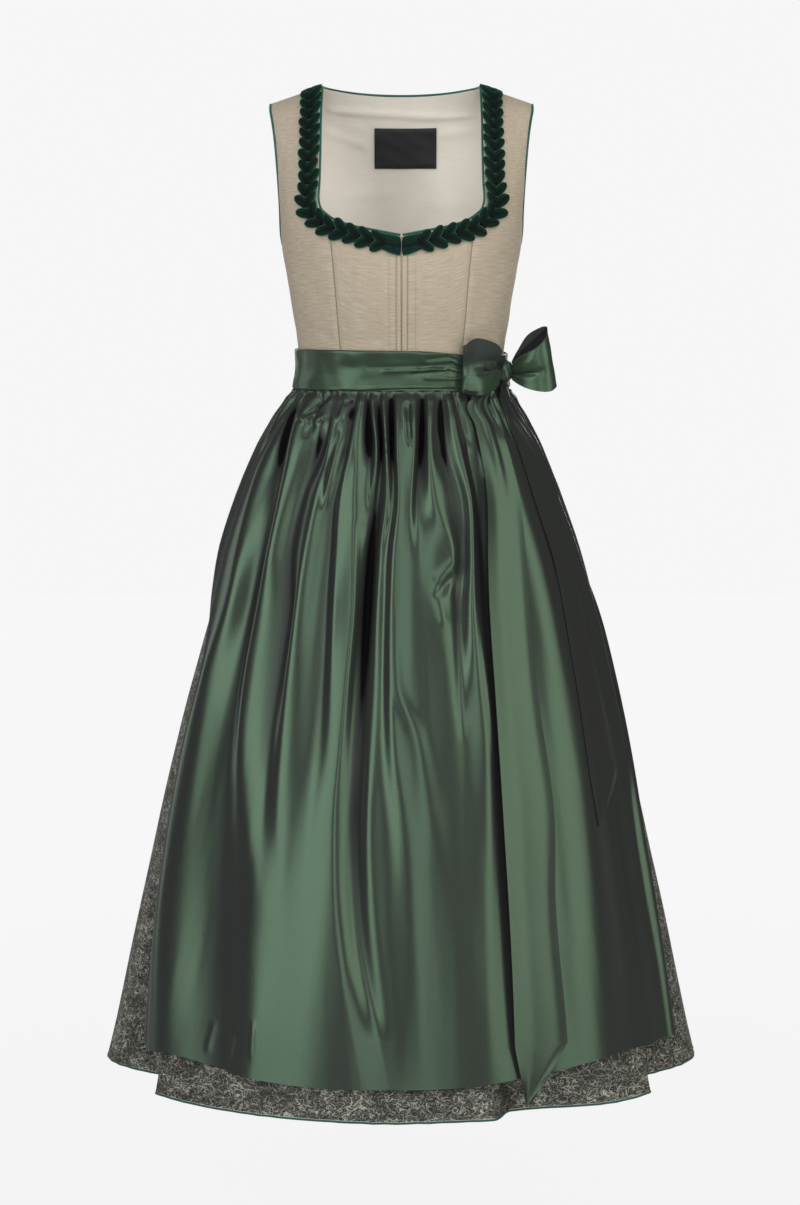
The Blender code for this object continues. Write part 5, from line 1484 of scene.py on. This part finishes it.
# Painted shade at the sides of the front band and of the back tie, which also takes down their shine.
def dull_front(degrees):
    return ease((np.abs(degrees) - 76) / 12)


def dull_back(degrees):
    return ease((118 - np.minimum(degrees, 360 - degrees)) / 16)


def make_waistband():
    def bottom(degrees):
        return BAND_BOTTOM + 0.0004 * np.sin(np.radians(degrees) * 23)

    def relief(degrees, drop):
        total = 0.0003 * noise(np.radians(degrees) * 40, drop * 80, 61, 8)
        gathers = noise(np.radians(degrees) * 26, drop * 20, 62, 8)
        return total + 0.0005 * gathers * ease((drop - 0.350) / 0.006)

    def top(degrees):
        return 0.3290 + 0 * degrees

    ends = (-FRONT_BAND_END, FRONT_BAND_END)
    band("waistband", "apron_band", ends, 260, 22, top, bottom, BAND_STAND, 0.0013, relief, dull_front)


def make_tie_front():
    def bottom(degrees):
        return TIE_BOTTOM + 0.0024 * ease((4 - degrees) / 20)

    def relief(degrees, drop):
        return tie_relief(degrees, drop, 71, 0, FRONT_BAND_END) + 0.0006

    ends = (-FRONT_BAND_END, FRONT_BAND_END)
    stand = BAND_STAND + 0.0014
    band("tie_front", "apron_band", ends, 300, 56, top_line, bottom, stand, 0.0016, relief, dull_front)


def make_tie_back():
    def bottom(degrees):
        return BAND_BOTTOM - 0.0008 + 0.0004 * np.sin(np.radians(degrees) * 5)

    def relief(degrees, drop):
        line = 0.3340 + 0.004 * np.sin(np.radians(degrees) * 2)
        return tie_relief(degrees, drop, 81, 180, 80) - 0.0008 * bell(drop - line, 0.0020)

    gap = math.degrees(SEAM_GAP / SKIRT["side"][0])
    ends = (FRONT_BAND_END + gap, 360 - FRONT_BAND_END - gap)
    stand = BAND_STAND
    band("tie_back", "waist_tie_back", ends, 220, 52, top_line, bottom, stand, 0.0026, relief, dull_back)


def bow_frame(deg, drop):
    out = level_outward(math.radians(deg), drop)
    return waist(math.radians(deg), drop), out, np.array([-out[1], out[0], 0.0])


def make_knot():
    """The wrapped knot: a band of cloth round the middle of the bow, pleated across."""
    place, out, across = bow_frame(KNOT_DEG, KNOT_DROP)
    stand = BAND_STAND + 0.0025 + SEAM_GAP + KNOT_HALF[1]
    middle = place + out * stand
    rows, columns = 40, 60
    up = np.linspace(-1, 1, rows)[:, None]
    turn = np.linspace(0, 2 * math.pi, columns, endpoint=False)[None, :]
    pinch = 1 - 0.30 * np.abs(up) ** 3
    pleat = 0.055 * np.sin(turn * 2 + up * 2.6) + 0.06 * np.sin(turn * 5 - up * 3.0)
    reach = (1 + pleat) * pinch * np.sqrt(np.clip(1 - np.abs(up) ** 5, 0.02, 1))
    x = KNOT_HALF[0] * 0.98 * signed_power(np.sin(turn), 0.8) * reach
    y = KNOT_HALF[1] * signed_power(np.cos(turn), 0.8) * reach
    z = -KNOT_HALF[2] * up * 0.98 + 0 * turn + 0.0012 * np.sin(turn + 0.6)
    points = middle + across * x[..., None] + out * y[..., None] + np.array([0, 0, 1.0]) * z[..., None]
    faces = [grid_faces(rows, columns, True)[:, ::-1]]
    # Each end closes to one point.
    poles = np.stack([points[0].mean(0), points[-1].mean(0)])
    top, bottom = np.arange(columns), np.arange(columns) + (rows - 1) * columns
    count = rows * columns
    faces.append(np.stack([top, np.roll(top, -1), np.full(columns, count)], -1)[:, ::-1])
    faces.append(np.stack([np.roll(bottom, -1), bottom, np.full(columns, count + 1)], -1)[:, ::-1])
    uv = uv_grid(turn[0] * 0.008, -KNOT_HALF[2] * up[:, 0])
    uv = np.concatenate([uv, [[0.0, KNOT_HALF[2]], [0.0, -KNOT_HALF[2]]]])
    every = np.concatenate([points.reshape(-1, 3), poles])
    return piece("bow_knot_wrap", "satin", ["bow_knot"], every, faces, uv, 75)


def make_loop(name, node_name, rows, relief, shade, columns=150, across=44):
    """A loop of ribbon stood on edge, drawn into pleats at the knot."""
    station = np.arange(len(rows["y"]), dtype=float)
    at = np.linspace(0, station[-1], columns)
    column = {key: smooth(station, values, at) for key, values in rows.items()}
    top = np.stack([column["x_top"], column["y"], -column["top"]], -1)
    bottom = np.stack([column["x_bottom"], column["y"], -column["bottom"]], -1)
    share = np.linspace(0, 1, across)[:, None, None]
    points = top[None] + (bottom - top)[None] * share
    out = grid_out(points)
    length = at / station[-1]
    points = points + out * relief(length[None, :], share[..., 0])[..., None]
    out = grid_out(points)
    half = RIBBON_WALL / 2
    uv = uv_grid(walked((top + bottom) / 2), -np.linspace(0, RIBBON_WIDTH, across))
    painted_shading = shade(length[None, :], share[..., 0])
    return shell(name, "satin", [node_name], points + out * half, points - out * half, uv, 60, painted_shading)


def left_loop_shade(s, t):
    """Painted shade: dark above, where it leans back, at the curl beside the knot, in its open foot and
    inside.
    """
    above = 0.70 * ease((0.47 + 0.10 * s - t) / 0.10)
    curl = np.hypot((s - 0.13) / 0.060, (t - 0.47) / 0.14)
    curl = 0.85 * bell(curl - 1, 0.30)
    foot = 0.9 * ease((t - 0.90) / 0.03) * ease((s - 0.24) / 0.06) * ease((0.50 - s) / 0.05)
    return np.clip(np.maximum(above, np.maximum(curl, foot)) + 0.8 * ease((s - 0.62) / 0.05), 0, 0.92)


def right_loop_shade(s, t):
    """Painted shade: dark along its upper edge, where the inside shows, and on the far side."""
    top = 0.21 * np.sin(math.pi * np.clip(s / 0.48, 0, 1)) ** 0.7
    return np.clip(0.95 * ease((top - t) / 0.03) + 0.8 * ease((s - 0.55) / 0.05), 0, 0.95)


def left_loop_relief(s, t):
    """The loop nearer the middle: it leans back above and to the light below, with a stitched line."""
    front = ease((0.62 - s) / 0.12)
    total = 0.0005 * noise(s * 6, t * 4, 91, 8)
    total = total - 0.0005 * bell(t - 0.68, 0.012) * front
    total = total + 0.0048 * bell(t - 0.52, 0.24) * front
    total = total - 0.0030 * bell(t - 0.50, 0.07) * bell(s - 0.16, 0.10)
    return total + 0.0020 * bell(t - 0.62, 0.06) * bell(s - 0.18, 0.10)


def right_loop_relief(s, t):
    """Pleats that fan out from the knot, and the deeply sunk fold along the loop's lower third."""
    fan = np.exp(-s / 0.10) + np.exp(-(1 - s) / 0.10)
    total = 0.0008 * np.sin(t * 19 + 0.8) * fan + 0.0004 * noise(s * 6, t * 4, 95, 8)
    fold = 0.67 - 0.10 * s
    total = total - 0.0036 * bell(t - fold, 0.06) * ease((0.40 - s) / 0.25)
    return total + 0.0022 * bell(t - 0.34, 0.26) * np.sin(math.pi * np.clip(s * 2.2, 0, 1))


def tail_floor(degrees, drop):
    """The height of the cloth right under a tail: the tie above, the apron below."""
    over_band = 1 - ease((drop - 0.352) / 0.022)
    return apron_stand(degrees, drop) * (1 - over_band) + TIE_DEPTH * over_band


def make_tail(name, node_name, rows, tip, shape, count=190, across=34):
    """A tail of ribbon that lies on the apron, as smooth as what is under it lets it be."""
    drops, inner, outer = (np.append(rows[key], end) for key, end in zip(("drop", "inner", "outer"), tip))
    body = np.linspace(drops[0], drops[-2], int(count * 0.9))
    point = np.linspace(drops[-2], drops[-1], count - len(body) + 1)[1:]
    level = np.concatenate([body, point])

    def edge(places):
        tapered = np.interp(level, drops[-2:], places[-2:])
        return np.where(level <= drops[-2], smooth(drops[:-1], places[:-1], level), tapered)

    left, right = edge(inner), edge(outer)
    share = np.linspace(0, 1, across)[None, :]
    degrees = left[:, None] + (right - left)[:, None] * share
    drop = np.repeat(level[:, None], across, 1)
    floor = tail_floor(degrees, drop)
    rest = np.percentile(floor, 80, axis=1)
    # The ribbon spans the small hollows along its way, then lies down on what stands higher.
    for _ in range(260):
        rest[1:-1] = (rest[:-2] + 2 * rest[1:-1] + rest[2:]) / 4
    stand = np.maximum(rest[:, None] + shape(share, drop), floor)
    for _ in range(10):
        stand[:, 1:-1] = np.maximum((stand[:, :-2] + 2 * stand[:, 1:-1] + stand[:, 2:]) / 4, floor[:, 1:-1])
        stand[1:-1] = np.maximum((stand[:-2] + 2 * stand[1:-1] + stand[2:]) / 4, floor[1:-1])
    stand = stand + TAIL_OFF
    angle = np.radians(degrees)
    out = level_outward(angle, drop)
    points = waist(angle, drop) + out * stand[..., None]
    face_out = grid_out(points)
    wall = face_out * TAIL_HALF_WALL
    return shell(name, "satin", [node_name], points + wall, points - wall, sharp=60)


def long_tail_shape(t, drop):
    """The left third rises to its edge, which stands off the apron; the rest leans towards the light."""
    lower = ease((drop - 0.40) / 0.10)
    fall = 0.0042 * np.clip(1 - t / 0.34, 0, 1) ** 1.25 * lower + 0.0022 * ease((t - 0.86) / 0.14) * lower
    lean = 0.0030 * (t - 0.5) * lower
    upper = 0.0040 * bell(t - 0.52, 0.18) * (1 - lower) * ease((drop - 0.36) / 0.02)
    return fall + lean + upper + 0.0004 * noise(t, drop * 9, 51, 6)


def short_tail_shape(t, drop):
    """Smooth, with one slanting fold near its top, and its far edge down on the apron."""
    fold = bell(t - 0.35 - (drop - 0.385) / 0.07 * 0.55, 0.12)
    fold = fold * ease((drop - 0.378) / 0.02) * ease((0.475 - drop) / 0.05)
    return 0.0042 * fold - 0.0040 * ease((t - 0.72) / 0.28) + 0.0004 * noise(t, drop * 9, 55, 6)


# ------------------------------------------------------------------ every piece
for word, sign in (("left", 1), ("right", -1)):
    make_centre_front(sign)
    make_side_front(sign)
    make_trim(sign)
make_back()
make_label()
make_pipings()
make_stitches()
make_skirt("front", -90, 90, 150, 120)
make_skirt("back", 90, 270, 180, 130)
make_apron()
make_waistband()
make_tie_front()
make_tie_back()
make_knot()
make_loop("bow_loop_left", "bow_loop_inner", LOOP_INNER, left_loop_relief, left_loop_shade)
make_loop("bow_loop_right", "bow_loop_outer", LOOP_OUTER, right_loop_relief, right_loop_shade)
make_tail("bow_tail_left", "bow_tail_long", TAIL_LONG, TAIL_LONG_TIP, long_tail_shape)
make_tail("bow_tail_right", "bow_tail_short", TAIL_SHORT, TAIL_SHORT_TIP, short_tail_shape)


# Every piece of cloth: the width and length it was cut to, its flat area where the cut isn't a rectangle,
# how it is held, what it rests on and the pieces on it.
SHEETS = (
    ("bodice_centre_left", 0.104, 0.206, 0.0149, "hung", ["bodice_side_left"], ["placket_stitches"]),
    ("bodice_centre_right", 0.104, 0.206, 0.0149, "hung", ["bodice_side_right"], []),
    ("bodice_side_left", 0.126, 0.397, 0.0337, "hung", ["bodice_back_panel"], ["armhole_edge_left"]),
    ("bodice_side_right", 0.126, 0.397, 0.0337, "hung", ["bodice_back_panel"], ["armhole_edge_right"]),
    ("leaf_trim_left", 0.044, 0.400, None, "laid", ["bodice_centre_left", "bodice_side_left"], []),
    ("leaf_trim_right", 0.044, 0.400, None, "laid", ["bodice_centre_right", "bodice_side_right"], []),
    ("bodice_back_panel", 0.390, 0.395, 0.1229, "hung", ["skirt_back_cloth"], ["neck_edge_piping"]),
    ("back_lining_satin", 0.384, 0.392, 0.1208, "laid", ["bodice_back_panel"], []),
    ("label_blank", 0.076, 0.051, None, "laid", ["back_lining_satin"], []),
    ("skirt_front_cloth", 1.070, 0.865, 0.852, "gathered", ["bodice_side_left"], ["hem_cord_front"]),
    ("skirt_back_cloth", 1.120, 0.865, 0.891, "gathered", ["bodice_back_panel"], ["hem_cord_back"]),
    ("apron_cloth", 0.900, 0.800, None, "gathered", ["waistband", "skirt_front_cloth"], []),
    ("waistband", 0.412, 0.032, None, "laid", ["skirt_front_cloth"], []),
    ("tie_front", 0.413, 0.050, None, "folded", ["waistband"], []),
    ("tie_back", 0.318, 0.050, None, "folded", ["skirt_back_cloth"], []),
    ("bow_knot_wrap", 0.028, 0.030, None, "folded", ["tie_front"], []),
    ("bow_loop_left", 0.068, 0.139, None, "folded", ["bow_knot_wrap"], []),
    ("bow_loop_right", 0.068, 0.141, None, "folded", ["bow_knot_wrap"], []),
    ("bow_tail_left", 0.065, 0.879, 0.0460, "hung", ["bow_knot_wrap", "apron_cloth"], []),
    ("bow_tail_right", 0.063, 0.565, 0.0270, "hung", ["bow_knot_wrap", "apron_cloth"], []),
)
for name, wide, long, flat_area, held, under, edges in SHEETS:
    pieces = bpy.data.objects
    edges = [pieces[edge] for edge in edges]


# ------------------------------------------------------------------ floor, light and camera
def add(name, data, place=(0, 0, 0), turn=(0, 0, 0)):
    made = bpy.data.objects.new(name, data)
    made.location, made.rotation_euler = place, turn
    bpy.context.scene.collection.objects.link(made)
    return made


def plain_floor():
    mesh = bpy.data.meshes.new("floor")
    count = 96
    turn = 2 * math.pi * np.arange(count) / count
    ring = [(7 * math.cos(t), 7 * math.sin(t), 0.0) for t in turn]
    mesh.from_pydata(ring, [], [tuple(range(count))])
    material = bpy.data.materials.new("floor")
    material.use_nodes = True
    tree = material.node_tree
    tree.nodes.clear()
    place = node(tree, "TexCoord").outputs["Object"]
    far = node(tree, "VectorMath", {0: place}, operation="LENGTH").outputs["Value"]
    share = ranged(tree, far, 0.8, 2.4, 0.05, 0.0)
    paint = node(tree, "BsdfDiffuse", {"Color": (0.93, 0.93, 0.93, 1)})
    seen = node(tree, "Emission", {"Color": (0.93, 0.93, 0.93, 1), "Strength": 1.0})
    lit = node(tree, "Emission", {"Color": (0.93, 0.93, 0.93, 1), "Strength": 0.25})
    ray = node(tree, "LightPath").outputs["Is Camera Ray"]
    plain = node(tree, "MixShader", {0: ray, 1: lit.outputs[0], 2: seen.outputs[0]})
    both = node(tree, "MixShader", {0: share, 1: plain.outputs[0], 2: paint.outputs[0]})
    tree.links.new(both.outputs[0], node(tree, "OutputMaterial").inputs["Surface"])
    mesh.materials.append(material)
    add("floor", mesh, (0, 0, -1.42))


def studio():
    world = bpy.data.worlds.new("studio")
    bpy.context.scene.world = world
    world.use_nodes = True
    tree = world.node_tree
    tree.nodes.clear()
    seen = node(tree, "Background", {"Color": (0.921, 0.921, 0.921, 1), "Strength": 1.0})
    fill = node(tree, "Background", {"Color": (1, 1, 1, 1), "Strength": WORLD_FILL})
    ray = node(tree, "LightPath").outputs["Is Camera Ray"]
    both = node(tree, "MixShader", {0: ray, 1: fill.outputs[0], 2: seen.outputs[0]})
    tree.links.new(both.outputs[0], node(tree, "OutputWorld").inputs["Surface"])
    for azimuth, height, distance, width, tall, power, warm in zip(*SOFTBOXES.values()):
        data = bpy.data.lights.new("softbox", "AREA")
        data.shape, data.size, data.size_y = "RECTANGLE", width, tall
        data.energy = power
        data.color = (1.0, 1.0 - 0.03 * warm, 1.0 - 0.14 * warm)
        turn = math.radians(azimuth)
        place = np.array([math.sin(turn) * distance, -math.cos(turn) * distance, height])
        aim = np.array([0.0, 0.0, -0.55]) - place
        pitch = math.atan2(aim[2], math.hypot(aim[0], aim[1]))
        made = add("softbox_" + str(int(azimuth)), data, tuple(place), (math.pi / 2 + pitch, 0, turn))
        made.visible_camera = False


WORLD_FILL = 0.08
# Azimuths are from the front, positive to the wearer's left; sizes and distances in metres, power in watts.
SOFTBOXES = table("azimuth height distance width tall power warm", [
    (-38, 0.45, 3.6, 1.7, 3.8, 57, 0), (6, 0.45, 3.7, 1.4, 3.8, 33, 0), (52, 0.45, 3.6, 2.1, 3.8, 54, 0.6),
    (6, 2.1, 2, 0.9, 0.6, 11, 0), (-112, 0, 3.4, 1, 2.4, 10, 0), (166, 0.4, 3.6, 1.4, 2.2, 24, 0),
    (-166, 0.4, 3.6, 1.4, 2.2, 20, 0),
])
plain_floor()
studio()
lens = bpy.data.cameras.new("photograph")
lens.lens, lens.sensor_width = 75.22, 36
lens.clip_end = 60
camera = add("photograph", lens, (-0.0017, -3.05, -0.253), (math.radians(90 - 6.85), 0, 0))
bpy.context.scene.camera = camera
bpy.context.scene.view_settings.view_transform = "Standard"
